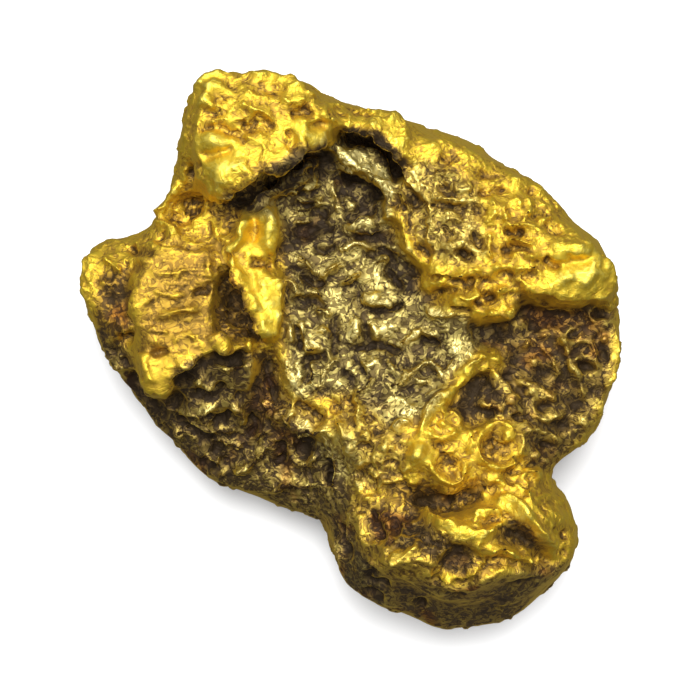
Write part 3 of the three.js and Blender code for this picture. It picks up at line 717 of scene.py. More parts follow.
def shape_lobe(clay):
    """The round lobe nearest the viewer, with basins between its crests and a smooth steep front."""
    clay.ridges(0.52, 0.2, [
        [(4.4, -4.7), (4.9, -4.8), (5.3, -5.1), (5.7, -5.5), (6.1, -6.0), (6.5, -6.4), (6.35, -6.85)],
        [(4.1, -6.75), (4.3, -6.4), (4.8, -6.25), (5.2, -6.5), (5.7, -6.7), (6.3, -6.9)],
        [(2.6, -7.05), (3.0, -7.2), (3.5, -7.25), (3.95, -7.05), (4.2, -6.7)],
        [(2.1, -5.2), (2.5, -5.25), (2.9, -5.55), (3.3, -5.75), (3.8, -5.85), (4.3, -5.75), (4.8, -5.5)],
    ])
    clay.ridges(0.28, 0.15, [
        [(3.8, -5.3), (4.3, -5.15), (4.9, -5.1)],
        [(0.9, -6.4), (1.4, -6.7), (1.8, -6.4), (2.25, -6.05)],
        [(3.95, -6.0), (4.05, -6.4)],
        [(2.6, -6.5), (3.0, -6.35), (3.3, -6.45)],
        [(5.4, -4.6), (5.9, -5.1), (6.3, -5.6)],
        [(0.4, -5.2), (0.45, -5.9), (0.6, -6.5)],
    ])
    clay.lumps(0.2, [(2.45, -5.2, 0.18, 0.16), (3.25, -5.45, 0.18, 0.14), (3.7, -5.65, 0.15, 0.15),
                     (4.4, -5.7, 0.15, 0.1), (4.75, -5.5, 0.12, 0.1), (4.1, -5.8, 0.12, 0.1),
                     (2.5, -7.0, 0.2, 0.15), (2.1, -6.1, 0.15, 0.2), (1.4, -6.5, 0.2, 0.15),
                     (1.1, -6.3, 0.15, 0.15), (2.6, -6.7, 0.2, 0.12), (4.3, -6.8, 0.15, 0.1)])
    clay.spot(3.4, -6.5, 0.5, 0.42, 0, -0.6)
    clay.spot(5.6, -6.0, 0.75, 0.3, -35, -0.6)
    clay.spot(1.5, -5.6, 0.8, 0.42, 5, -0.3)
    clay.spot(2.7, -5.95, 0.55, 0.22, -10, -0.35)
    clay.spot(4.35, -5.4, 0.3, 0.12, 15, -0.2)
    clay.ridges(0.22, 0.11, [
        [(1.3, -6.3), (1.7, -6.6), (2.2, -6.5), (2.6, -6.8)],
        [(0.5, -6.6), (0.9, -6.9), (1.4, -7.0)],
        [(2.4, -5.7), (2.9, -6.0), (3.4, -6.0), (3.9, -6.2)],
        [(4.6, -4.3), (5.0, -4.4), (5.5, -4.7), (5.9, -4.9)],
    ])
    clay.grooves(0.2, 0.1, [
        [(0.9, -6.1), (1.5, -6.2), (2.0, -6.1), (2.5, -6.3)],
        [(1.0, -6.9), (1.6, -7.1), (2.2, -7.2)],
        [(2.6, -7.5), (3.2, -7.8), (3.9, -7.8)],
        [(4.6, -7.3), (5.3, -7.5), (6.1, -7.3)],
        [(4.6, -5.0), (5.0, -5.2), (5.3, -5.5)],
    ])
    clay.ridges(0.14, 0.1, [
        [(5.1, -5.8), (5.4, -6.05), (5.8, -6.3)],
        [(3.2, -6.5), (3.5, -6.6), (3.6, -6.3)],
        [(1.0, -5.3), (1.2, -5.7), (1.0, -6.0)],
        [(1.6, -5.2), (1.7, -5.6), (1.5, -5.9)],
    ])
    clay.ledge([(7.0, -6.9), (6.3, -7.05), (5.6, -6.95), (4.9, -6.85), (4.3, -7.1), (3.7, -7.45),
                (3.0, -7.45), (2.3, -7.2)], high=0.1, low=0.4, width=0.16, reach=0.7)
    clay.ridges(0.2, 0.2, [
        [(0.2, -5.0), (0.05, -5.8), (-0.1, -6.4)],
        [(-0.5, -6.2), (-0.55, -6.7), (-0.3, -7.1)],
    ])
    clay.grooves(0.36, 0.12, [
        [(0.4, -6.85), (0.75, -7.1), (0.6, -7.45), (1.1, -7.65), (1.4, -7.95)],
        [(0.4, -7.8), (0.8, -8.0), (1.15, -8.3)],
        [(0.7, -5.0), (0.8, -5.6), (0.75, -6.2)],
        [(-0.2, -5.6), (-0.2, -6.3), (0.0, -6.9)],
        [(2.2, -8.1), (2.4, -8.5)],
    ])


def shape_knob(clay):
    """The small knob beyond the right end of the lobe."""
    clay.ridges(0.22, 0.16, [
        [(6.9, -4.7), (6.75, -5.2), (6.95, -5.6)],
        [(7.4, -5.2), (7.6, -5.9), (7.35, -6.5)],
        [(6.3, -4.9), (6.5, -5.4), (6.6, -5.8)],
    ])
    clay.hollows(0.4, [(7.1, -6.0, 0.2, 0.25), (7.0, -6.6, 0.2, 0.2), (6.2, -5.1, 0.2, 0.25, -50)])
    clay.lumps(0.16, [(7.0, -5.5, 0.15, 0.15), (6.8, -5.0, 0.15, 0.12), (7.4, -5.7, 0.15, 0.15),
                      (6.5, -4.7, 0.2, 0.1)])
    clay.grooves(0.22, 0.12, [[(6.6, -4.7), (6.5, -5.3), (6.8, -6.0), (6.9, -6.9)]])


def shape_left_lobe(clay):
    """The finger at the far left, the wrinkled plate beside it, the socket and the flap."""
    clay.ridges(0.26, 0.26, [
        [(-8.2, 3.4), (-8.6, 2.8), (-8.65, 2.2), (-8.55, 1.6), (-8.3, 1.1)],
        [(-7.1, 2.7), (-6.9, 2.1), (-6.75, 1.6), (-6.9, 1.1), (-7.0, 0.6)],
    ])
    clay.ridge([(-8.0, 3.15), (-7.75, 2.85), (-7.4, 2.4)], 0.35, 0.12)
    clay.spot(-7.65, 1.6, 0.42, 0.95, 5, -0.25)
    clay.ledge([(-7.05, -0.4), (-6.85, -1.1), (-6.4, -1.55), (-5.9, -1.4), (-5.65, -0.8), (-5.2, -0.45),
                (-4.7, -0.15), (-4.3, -0.05), (-3.6, 0.0), (-3.0, -0.05)], high=0.2, low=0.4, width=0.16,
               reach=0.7, shove=0.1)
    clay.ridges(0.26, 0.15, [
        [(-6.7, 0.0), (-6.45, -0.6), (-6.2, -1.15)],
        [(-5.7, -0.45), (-5.3, -0.35), (-4.9, -0.2)],
        [(-4.6, 0.5), (-4.3, 0.3), (-3.8, 0.12)],
        [(-3.4, 0.2), (-3.1, 0.05)],
        [(-6.3, 1.05), (-5.7, 1.2), (-5.1, 1.25), (-4.6, 1.5)],
    ])
    clay.grooves(0.3, 0.09, [
        [(-6.4, -0.05), (-6.1, -0.08), (-5.75, -0.02)],
        [(-7.4, 3.35), (-6.8, 3.2), (-6.2, 3.1)],
        [(-6.3, 3.4), (-5.7, 3.45), (-5.0, 3.35), (-4.6, 3.5)],
        [(-7.2, 1.2), (-7.15, 0.6), (-7.4, 0.2)],
        [(-5.1, 1.7), (-4.6, 1.9), (-4.45, 2.4)],
    ])
    clay.ridges(0.15, 0.1, [
        [(-5.55, 0.15), (-5.5, 0.45), (-5.1, 0.5), (-4.9, 0.25)],
        [(-7.3, 3.5), (-6.5, 3.35), (-5.7, 3.35), (-5.0, 3.6)],
        [(-4.55, 2.9), (-4.5, 2.3), (-4.4, 1.8)],
        [(-6.6, 0.6), (-6.1, 0.65), (-5.7, 0.5)],
        [(-6.4, 2.0), (-5.8, 1.75), (-5.2, 1.8)],
        [(-6.5, 2.6), (-5.8, 2.4), (-5.1, 2.5)],
        [(-8.2, 2.1), (-7.9, 2.2), (-7.6, 2.1)],
        [(-7.7, 1.0), (-7.5, 0.8), (-7.3, 0.9)],
    ])
    clay.spot(-3.75, 1.5, 0.42, 0.95, 12, -0.3)
    clay.ridges(0.22, 0.11, [[(-4.2, 1.2), (-3.8, 1.3), (-3.3, 1.2)], [(-4.1, 0.6), (-3.7, 0.7),
                                                                       (-3.3, 0.5)]])
    clay.ridge([(-3.9, 3.05), (-3.6, 2.6), (-3.3, 2.05), (-3.0, 1.4), (-2.75, 0.8), (-2.6, 0.35)], 0.5, 0.15,
               fade=0.1)
    clay.ridge([(-2.5, 2.4), (-2.2, 1.9), (-2.2, 1.3), (-2.4, 0.8), (-2.6, 0.35)], 0.3, 0.13, fade=0.1)
    clay.spot(-2.65, 1.6, 0.3, 0.75, 12, 0.3)
    clay.grooves(0.35, 0.14, [[(-3.3, 2.95), (-2.8, 2.75), (-2.25, 2.85)], [(-2.1, 2.5), (-2.0, 1.8),
                                                                            (-2.15, 1.0)]])
    clay.spot(-2.6, 3.8, 0.28, 0.7, -3, 0.32)
    clay.ridge([(-3.95, 3.15), (-3.6, 3.35), (-3.4, 3.8), (-3.35, 4.3)], 0.34, 0.14, fade=0.1)
    clay.grooves(0.2, 0.1, [[(-3.1, 4.5), (-3.05, 3.9), (-3.1, 3.3)]])
    clay.hollows(0.35, [(-3.85, 4.1, 0.25, 0.25), (-7.8, -0.1, 0.22, 0.15), (-7.4, -0.4, 0.15, 0.15),
                        (-7.4, 0.3, 0.12, 0.15)])
    clay.spot(-7.15, -1.05, 0.28, 0.18, -50, -0.55, 3.0)
    clay.lumps(0.2, [(-7.8, 0.35, 0.15, 0.15), (-7.3, 0.6, 0.15, 0.15), (-7.6, -0.6, 0.2, 0.15),
                     (-6.3, 0.3, 0.2, 0.15), (-7.5, -1.0, 0.15, 0.12), (-8.1, -0.2, 0.15, 0.15)])


def shape_crook(clay):
    """The small hooked rim between the shoulder and the left lobe."""
    clay.ridge([(-6.4, 4.2), (-6.0, 4.75), (-5.6, 5.25), (-5.2, 5.3)], 0.34, 0.15)
    clay.ridge([(-6.35, 4.25), (-6.0, 3.95), (-5.5, 3.7)], 0.36, 0.13)
    clay.hollows(0.35, [(-6.15, 3.7, 0.22, 0.13, 10), (-5.6, 4.3, 0.25, 0.2)])
    clay.spot(-5.15, 4.7, 0.28, 0.33, -30, -0.6, 3.0)
    clay.ridge([(-4.7, 4.9), (-4.75, 4.4), (-4.4, 4.0), (-4.2, 3.6)], 0.22, 0.18)
    clay.lumps(0.18, [(-5.5, 5.15, 0.2, 0.12), (-4.1, 3.6, 0.25, 0.12), (-4.9, 4.1, 0.25, 0.25)])


def shape_apron(clay):
    """The low dark skirt at the near left."""
    clay.ring(-1.5, -3.2, 0.5, 0.42, 0, rim=0.35, depth=0.5, width=0.13, start=150, end=340)
    clay.ridges(0.42, 0.15, [
        [(-2.4, -1.75), (-1.95, -2.15), (-1.45, -2.5), (-0.8, -2.6), (-0.4, -2.45)],
        [(-4.0, -3.8), (-3.6, -3.9), (-3.1, -3.65), (-2.8, -3.3), (-2.5, -3.2)],
    ])
    clay.ridges(0.3, 0.11, [
        [(-1.75, -2.85), (-1.5, -2.75), (-1.2, -2.85)],
        [(-4.8, -4.0), (-4.4, -4.1), (-4.0, -3.95)],
        [(-5.5, -2.15), (-4.9, -2.5), (-4.3, -2.6), (-3.6, -2.6)],
        [(-3.9, -1.7), (-3.6, -1.9), (-3.5, -2.3), (-3.8, -2.4)],
        [(-5.9, -2.75), (-5.4, -2.75), (-5.1, -3.0)],
        [(-2.9, -1.6), (-2.6, -1.9), (-2.7, -2.3)],
        [(-3.1, -3.1), (-2.9, -2.7), (-2.6, -2.5)],
        [(-4.9, -3.3), (-4.6, -3.6), (-4.2, -3.7)],
        [(-0.7, -3.2), (-0.5, -3.6), (-0.4, -4.2), (-0.5, -4.8)],
        [(-6.6, -1.5), (-6.0, -1.9), (-5.4, -2.0), (-4.8, -1.95), (-4.2, -1.7)],
        [(-2.8, -4.8), (-2.2, -4.4), (-1.4, -4.4), (-0.9, -4.5)],
        [(-4.2, -3.2), (-3.8, -3.1), (-3.5, -3.3)],
    ])
    clay.ring(-4.7, -2.15, 0.28, 0.24, 0, rim=0.2, depth=0.2, width=0.1)
    clay.ring(-4.3, -3.25, 0.3, 0.25, 0, rim=0.16, depth=0.25, width=0.1)
    clay.lumps(0.28, [(-4.9, -1.05, 0.2, 0.14), (-4.5, -1.25, 0.2, 0.12), (-5.6, -1.3, 0.12, 0.1),
                      (-4.0, -0.6, 0.3, 0.15), (-1.9, -2.0, 0.15, 0.15), (-2.3, -2.2, 0.12, 0.2)])
    clay.grooves(0.25, 0.14, [[(-2.7, -0.2), (-2.65, -0.9), (-2.45, -1.5), (-2.3, -1.9)]])
    clay.grooves(0.42, 0.14, [
        [(-5.3, -1.45), (-4.8, -1.6), (-4.3, -1.45), (-3.9, -1.1)],
        [(-1.9, -1.6), (-1.5, -1.9), (-1.1, -2.2), (-0.7, -2.2)],
        [(-0.75, -3.4), (-0.65, -4.0), (-0.85, -4.4)],
        [(-5.7, -2.5), (-5.2, -2.7), (-4.7, -2.9), (-4.2, -2.9)],
        [(-3.3, -2.0), (-3.2, -2.5), (-3.4, -2.9)],
        [(-4.6, -2.5), (-4.1, -2.2), (-3.8, -2.1)],
        [(-5.0, -3.6), (-4.8, -3.8), (-4.4, -3.9)],
        [(-2.3, -2.9), (-2.2, -3.4), (-2.5, -3.9)],
    ])
    clay.hollows(0.3, [(-6.1, -1.7, 0.15, 0.12), (-5.6, -2.4, 0.2, 0.12), (-3.0, -1.2, 0.2, 0.35),
                       (-3.6, -1.5, 0.2, 0.15), (-0.9, -1.4, 0.25, 0.25), (-0.5, -1.8, 0.2, 0.2)])
    clay.spot(-2.0, -4.3, 0.9, 0.5, -10, 0.15)


def shape_girdle(clay):
    """The outline seen from above, trued up where the strokes have moved it."""
    for place in [
            (-8.4, 3.5, 0.6, 0.35), (-6.4, -2.2, 1.2, 0.2), (-4.5, -4.3, 1.0, 0.15), (-1.0, -5.3, 0.8, 0.1),
            (0.5, -8.2, 1.2, 0.15), (3.0, -9.3, 1.5, 0.2), (5.5, -8.6, 1.2, 0.22), (7.3, -6.8, 1.0, 0.22),
            (7.4, -4.9, 0.6, 0.25), (8.8, -1.0, 0.8, 0.2), (8.9, 2.2, 0.8, 0.12), (7.2, 4.6, 0.7, 0.2),
            (6.5, -4.1, 0.5, -0.35), (-5.3, 9.3, 0.5, -0.25), (-5.6, 7.0, 1.2, -0.2),
            (-5.2, 8.8, 0.8, -0.25), (-3.0, 9.2, 1.2, -0.2), (-6.2, 5.0, 0.8, -0.2),
            (-6.9, 3.7, 0.5, -0.25), (0.8, 8.2, 0.8, -0.2), (-0.9, -5.8, 0.4, -0.2)]:
        clay.swell(*place)


SHAPES = [shape_shoulder, shape_curl, shape_well, shape_cheek, shape_lip, shape_east_face, shape_spur,
          shape_cup, shape_lobe, shape_knob, shape_left_lobe, shape_crook, shape_apron, shape_girdle]


# ---------------------------------------------------------------------------------------------------------
# Zones of the surface, in plan

ZONES = {
    "well": [(-4.0, 4.7), (-3.2, 5.2), (-2.4, 5.7), (-1.5, 6.3), (-1.1, 6.3), (-0.5, 6.9), (0.5, 6.95),
             (1.3, 6.5), (1.7, 5.7), (1.5, 5.0), (1.35, 4.2), (1.9, 3.0), (2.6, 1.5), (4.4, 0.8), (4.2, 0.1),
             (3.2, -0.9), (2.4, -2.1), (1.2, -2.3), (0.2, -1.4), (-1.2, -1.5), (-1.9, -1.2), (-2.1, 0.6),
             (-2.0, 2.0), (-2.1, 3.0), (-2.3, 4.2), (-3.2, 4.4)],
    "basin": [(1.9, 5.9), (2.6, 6.0), (3.5, 5.6), (4.0, 5.0), (4.2, 4.0), (4.2, 3.0), (3.2, 2.75), (2.5, 3.1),
              (1.9, 4.0), (1.6, 5.0)],
    "east_face": [(5.4, 1.7), (6.3, 1.6), (7.0, 1.3), (7.8, 1.4), (8.6, 1.2), (8.6, 0.4), (8.4, -1.2),
                  (7.6, -2.8), (6.4, -3.9), (5.7, -3.4), (5.2, -2.2), (3.6, -2.2), (3.7, -1.3), (4.9, -0.7),
                  (5.0, 0.0), (4.4, 0.3), (4.6, 0.9), (5.2, 1.0)],
    "plate": [(-6.9, 3.1), (-5.6, 3.3), (-4.4, 3.2), (-4.3, 2.0), (-4.4, 0.8), (-4.0, 0.2), (-5.0, -0.1),
              (-5.6, -0.6), (-5.9, -1.3), (-6.4, -1.4), (-6.8, -0.7), (-6.9, 0.5)],
    "socket": [(-4.3, 0.4), (-4.3, 2.0), (-3.9, 2.7), (-3.5, 2.2), (-3.1, 1.4), (-2.8, 0.4), (-3.4, 0.3)],
    "apron": [(-9.0, 0.8), (-8.0, 0.5), (-7.2, -0.3), (-7.0, -1.1), (-6.4, -1.65), (-5.8, -1.5),
              (-5.6, -0.8), (-5.0, -0.35), (-3.9, -0.1), (-3.0, -0.1), (-2.5, -0.3), (-2.1, -1.7),
              (-1.2, -2.6), (-0.4, -3.4), (0.0, -4.5), (0.3, -6.5), (1.0, -7.8), (0.5, -9.0), (-3.0, -8.0),
              (-8.0, -4.0)],
    "front": [(0.0, -6.5), (1.5, -7.4), (2.6, -7.3), (3.2, -7.6), (4.4, -7.3), (5.6, -7.0), (6.8, -7.0),
              (8.5, -7.0), (7.0, -10.0), (2.0, -10.5), (0.0, -9.0)],
    "finger_hollow": [(-8.1, 2.4), (-7.3, 2.5), (-7.1, 1.2), (-7.4, 0.4), (-8.3, 0.3), (-8.3, 1.4)],
    "valley": [(1.2, -4.3), (2.4, -4.2), (3.4, -4.6), (4.3, -4.3), (4.4, -4.55), (3.2, -5.1), (1.8, -5.1)],
    "lobe_basins": [(0.7, -5.3), (2.0, -5.2), (3.2, -5.9), (3.9, -6.2), (3.8, -6.9), (3.0, -6.9), (2.2, -6.1),
                    (1.0, -6.2)],
    "lobe_eye": [(4.6, -5.9), (5.2, -5.3), (5.9, -5.7), (6.3, -6.3), (5.6, -6.2), (4.9, -6.1)],
    "waist_left": [(-2.2, -0.4), (-1.4, -1.5), (-0.6, -2.4), (0.2, -3.0), (0.3, -4.4), (-0.6, -4.0),
                   (-1.6, -2.6)],
    "cliff": [(5.4, 1.7), (6.3, 1.6), (7.0, 1.35), (7.8, 1.4), (7.7, 1.0), (6.7, 1.0), (5.5, 1.1)],
    "lip_shade": [(3.9, 0.9), (4.6, 0.9), (5.3, 0.95), (5.4, 0.4), (5.0, 0.0), (4.3, 0.1), (3.9, 0.5)],
    "undercut": [(-4.3, 4.6), (-3.3, 5.2), (-2.6, 5.6), (-1.5, 6.2), (-1.1, 6.2), (-1.0, 5.8), (-1.8, 5.2),
                 (-2.6, 5.0), (-3.5, 4.6)],
    "well_dark": [(-2.2, 3.2), (-2.1, 3.9), (-0.9, 4.4), (-0.3, 3.9), (0.9, 3.9), (1.5, 4.0), (1.6, 3.3),
                  (2.2, 2.4), (1.9, 1.6), (1.4, 2.3), (1.1, 3.2), (0.2, 3.4), (-1.0, 3.4)],
    "pocket": [(-0.5, 5.6), (0.6, 5.4), (0.9, 4.9), (0.8, 4.2), (-0.3, 4.2)],
    "lobe_left": [(0.2, -4.9), (1.0, -4.7), (1.8, -5.3), (2.6, -6.0), (2.7, -7.0), (1.5, -7.4), (0.2, -6.6)],
    "front_wall": [(-6.3, -1.6), (-5.7, -1.1), (-5.3, -0.6), (-4.6, -0.3), (-3.2, -0.2), (-2.8, -0.9),
                   (-3.4, -1.9), (-4.6, -2.1), (-5.6, -2.1)],
    "dull_facets": [(0.8, -0.5), (2.2, 0.3), (3.6, 0.7), (3.9, -0.3), (2.8, -1.3), (1.9, -2.3), (0.8, -1.9),
                    (0.3, -1.2)],
    "waist_mottle": [(-0.4, -1.6), (0.6, -1.5), (1.6, -2.4), (1.8, -3.4), (1.4, -4.3), (0.3, -4.4),
                     (-0.3, -3.2)],
}

# How much of each effect a zone has, for 1 as all of it, or how much more wear it takes
# Darker by zone: brown stain, and painted shade on the front, the cliff and the step below the lip, which lie
# turned from the light; a negative value makes a zone lighter
STAINS_AND_SHADE = {
    "apron": 0.85, "front": 1.0, "east_face": 0.85, "socket": 0.8, "finger_hollow": 0.9, "valley": 0.8,
    "lobe_basins": 0.7, "lobe_eye": 0.8, "waist_left": -0.4, "cliff": 0.6, "lip_shade": 0.5, "undercut": 0.1,
    "front_wall": -0.25, "pocket": 0.9, "well_dark": 0.75, "plate": 0.58, "lobe_left": 0.45, "well": 0.2,
    "dull_facets": 0.35, "waist_mottle": 0.25,
}
DULLED = {
    "well": 1.0, "basin": 0.6, "apron": 0.8, "east_face": 0.6, "front": 0.7, "lobe_basins": 0.4,
    "lobe_eye": 0.4, "waist_left": 0.4, "waist_mottle": 0.4, "lobe_left": 0.25,
}
SMOOTHED = {"front": 1.0, "finger_hollow": 0.5, "front_wall": 0.8}
LAYERED = {"apron": 1.0, "socket": 0.6, "front_wall": -0.7}
FINE_WEAR_MORE = {"well": -1.0, "plate": -2.2, "socket": -1.5}
STROKE_WEAR_MORE = {"well": 1.0, "apron": 0.6, "east_face": 0.45}

# Places that the river rubbed smooth and bright
POLISHED = {
    "pillow": [(6.4, 3.0), (7.2, 3.3), (8.1, 3.1), (8.5, 2.3), (7.6, 1.7), (6.4, 2.0)],
    "flap": [(-3.9, 3.1), (-3.3, 2.6), (-2.5, 2.4), (-2.2, 1.8), (-2.2, 1.2), (-2.6, 0.3), (-3.1, 1.4)],
    "far_flap": [(-3.9, 3.2), (-3.3, 4.5), (-2.5, 4.7), (-2.4, 3.3), (-2.8, 3.0), (-3.2, 3.1)],
    "knuckles": [(-4.9, 6.8), (-4.0, 6.9), (-3.3, 6.3), (-3.8, 5.6), (-4.3, 5.0), (-4.7, 5.6)],
    "wedge": [(-1.5, 7.1), (-0.4, 7.0), (-1.05, 6.35), (-1.5, 6.6)],
    "far_corner": [(-4.9, 8.8), (-4.3, 9.0), (-4.0, 8.6), (-4.3, 8.0), (-4.9, 7.8)],
    "waist_lump": [(1.8, -3.5), (2.3, -3.7), (2.6, -3.2), (2.2, -2.7), (1.9, -3.0)],
    "nose": [(-6.7, 0.0), (-6.6, -1.1), (-6.2, -1.4), (-5.7, -0.7), (-5.9, 0.0)],
    "lobe_crest": [(4.2, -4.6), (5.2, -4.7), (6.4, -6.0), (6.7, -6.8), (6.2, -7.0), (6.1, -6.3), (5.2, -5.3)],
}


def weigh(start, zone, weights):
    """Adds the zones to a starting value, each by its weight."""
    total = start
    for name, weight in weights.items():
        total = total + weight * zone[name]
    return total


def masks_of(clay, outlines, soft):
    """How far each vertex of the top is inside each outline."""
    return {name: inside(clay.plan, outline, soft) * clay.top for name, outline in outlines.items()}


def polish_of(clay, soft):
    """How far each vertex is inside the polished places."""
    return sum(inside(clay.plan, outline, soft) for outline in POLISHED.values())


# ---------------------------------------------------------------------------------------------------------
# Fine texture, cut with displacement through masks

def mask_group(piece, name, weights):
    """A vertex group that holds the weights, rounded to a few levels."""
    group = piece.vertex_groups.new(name=name)
    levels = np.round(np.clip(weights, 0, 1) * MASK_LEVELS).astype(int)
    for level in range(1, MASK_LEVELS + 1):
        who = np.flatnonzero(levels == level)
        if len(who):
            group.add(who.tolist(), level / MASK_LEVELS, "REPLACE")
    return group.name


def cut_texture(piece, name, texture, size, strength, mask, stretch=(1, 1, 1), turn=0.0):
    """Displaces the skin along its normals by a texture. size is its grain in millimetres."""
    guide = bpy.data.objects.new(name + "_guide", None)
    bpy.context.scene.collection.objects.link(guide)
    guide.scale = [size * s for s in stretch]
    guide.rotation_euler = (0, 0, math.radians(turn))
    bpy.context.view_layer.update()
    group = mask_group(piece, name, mask)
    apply(piece, "DISPLACE", texture=texture, strength=strength, mid_level=0.5, vertex_group=group,
          texture_coords="OBJECT", texture_coords_object=guide)
    piece.vertex_groups.remove(piece.vertex_groups[group])
    bpy.data.objects.remove(guide)


def new_texture(name, kind, **settings):
    texture = bpy.data.textures.new(name, kind)
    for key, value in settings.items():
        setattr(texture, key, value)
    return texture


def worm_texture():
    """Winding ridges: warped noise that peaks where it crosses its middle value."""
    texture = new_texture("worms", "DISTORTED_NOISE", noise_basis="ORIGINAL_PERLIN",
                          noise_distortion="ORIGINAL_PERLIN", distortion=1.6, noise_scale=1.0)
    texture.use_color_ramp = True
    ramp = texture.color_ramp.elements
    for stop, position in zip(ramp, (0.1, 0.9)):
        stop.position = position
        stop.color = (0, 0, 0, 1)
    for position, level in ((0.3, 0.35), (0.5, 1.0), (0.7, 0.35)):
        ramp.new(position).color = (level, level, level, 1)
    return texture


def terrace(clay, mask, size, stretch, turn, step, height):
    """Thin leaves of metal lying on each other: a slow swell broken into steps."""
    clay.read()
    cosine, sine = math.cos(math.radians(turn)), math.sin(math.radians(turn))
    who = np.flatnonzero(mask > 0.01)
    x, y, z = clay.at[who].T
    along, across = (cosine * x + sine * y) / (size * stretch), (cosine * y - sine * x) / size
    swell = np.array([noise.noise((a, b, c), noise_basis="PERLIN_ORIGINAL")
                      + RIPPLE_SHARE * noise.noise((RIPPLE * a, RIPPLE * b, RIPPLE * c + 5.0),
                                                   noise_basis="PERLIN_ORIGINAL")
                      for a, b, c in zip(along, across, z / size)])
    level = swell / step
    part = level - np.floor(level)
    leaf = np.where(part < TREAD, part * TREAD_SLOPE, RISER_FOOT + (part - TREAD) * RISER_SLOPE)
    rise = (np.floor(level) + leaf) * step
    clay.lift[who] += height * (rise - SWELL_LESS * swell) * mask[who]
    clay.press()


def cut_textures(piece):
    """Covers the skin with leaves, worm-like ripples, pits and crumbs, each where it belongs."""
    worms = worm_texture()
    crumbs = new_texture("crumbs", "CLOUDS", noise_basis="ORIGINAL_PERLIN", noise_scale=1.0, noise_depth=2)
    cells = new_texture("cells", "VORONOI", distance_metric="DISTANCE", noise_scale=1.0, weight_1=1.0)
    clay = Clay(piece)
    top = clay.top
    zone = masks_of(clay, ZONES, soft=0.45)
    anywhere = np.ones(len(clay.at))
    smooth = np.clip(weigh(0.0, zone, SMOOTHED), 0, 1)
    layered = np.clip(weigh(0.0, zone, LAYERED), 0, 1)
    leafy = zone["well"]
    polished = np.clip(polish_of(clay, soft=0.3), 0, 1)
    bright = np.clip(top - leafy - smooth - zone["plate"] - 0.6 * zone["east_face"] - 0.75 * polished, 0, 1)
    crumbly = np.clip(top - 0.6 * smooth - 0.7 * polished, 0, 1)
    cut_texture(piece, "heave", crumbs, 1.1, 0.058, anywhere)
    terrace(clay, leafy, size=1.2, stretch=1.8, turn=12, step=0.16, height=0.36)
    terrace(clay, layered, size=1.4, stretch=1.5, turn=-35, step=0.2, height=0.35)
    cut_texture(piece, "worms_bright", worms, 0.42, 0.055, bright)
    cut_texture(piece, "worms_small", worms, 0.24, 0.05, bright)
    cut_texture(piece, "worms_leafy", worms, 0.42, 0.06, leafy, stretch=(1.6, 0.8, 1), turn=8)
    cut_texture(piece, "wrinkles", worms, 0.4, 0.068, zone["plate"], stretch=(2.2, 0.5, 1), turn=4)
    cut_texture(piece, "honeycomb", cells, 0.5, 0.1, zone["east_face"])
    cut_texture(piece, "pocks", worms, 0.6, 0.05, smooth)
    cut_texture(piece, "river_pocks", worms, 0.9, 0.08, 1 - top)
    cut_texture(piece, "crumbs_fine", crumbs, 0.22, 0.035, crumbly)
    return clay


# ---------------------------------------------------------------------------------------------------------
# Wear, dirt, painted shade and painted light, measured on the finished shape

def edges_of(mesh):
    pairs = np.empty(len(mesh.edges) * 2, np.int32)
    mesh.edges.foreach_get("vertices", pairs)
    return pairs.reshape(-1, 2)


def spread(values, pairs, rounds):
    """Averages values over each vertex's neighbours, again and again."""
    a, b = pairs[:, 0], pairs[:, 1]
    count = len(values)
    number = np.bincount(a, minlength=count) + np.bincount(b, minlength=count)
    out = values.copy()
    for _ in range(rounds):
        for k in range(out.shape[1]):
            total = np.bincount(a, out[b, k], minlength=count) + np.bincount(b, out[a, k], minlength=count)
            out[:, k] = 0.5 * out[:, k] + 0.5 * total / number
    return out


def stand_out(clay, pairs, rounds):
    """How far each vertex stands above the smoothed surface, in millimetres."""
    return ((clay.at - spread(clay.at, pairs, rounds)) * clay.facing).sum(1)


def paint(piece, name, values):
    """Keeps values from 0 to 1 on the mesh as an attribute, for the material to read."""
    layer = piece.data.attributes.new(name, "FLOAT", "POINT")
    layer.data.foreach_set("value", np.clip(values, 0, 1).astype(np.float32))


def shelter(piece, clay, pairs):
    """How closed in each vertex is, from 0 in the open to 1 at the bottom of a crevice."""
    tree = BVHTree.FromPolygons(clay.at.tolist(), [tuple(face.vertices) for face in piece.data.polygons])
    blocked = np.zeros(len(clay.at))
    rays = []
    for lean, number in SHELTER_RINGS:
        for k in range(number):
            around = 2 * math.pi * (k + lean) / number
            away = math.sin(lean)
            rays.append(Vector((away * math.cos(around), away * math.sin(around), math.cos(lean))))
    for i, (at, facing) in enumerate(zip(clay.at.tolist(), clay.facing.tolist())):
        turn = Vector(facing).to_track_quat("Z", "X")
        start = Vector(at) + SHELTER_START * Vector(facing)
        for ray in rays:
            distance = tree.ray_cast(start, turn @ ray, SHELTER_REACH)[3]
            if distance is not None:
                blocked[i] += 1 - distance / SHELTER_REACH
    return spread(blocked[:, None] / len(rays), pairs, 2)[:, 0]


def drawn_strokes(clay):
    """The strokes once more, as heights on the finished skin. The girdle's only move the side walls."""
    clay.lift[:] = 0
    for shape in SHAPES:
        if shape is not shape_girdle:
            shape(clay)
    return np.clip(clay.lift, -DRAWN_LIMIT, DRAWN_LIMIT)


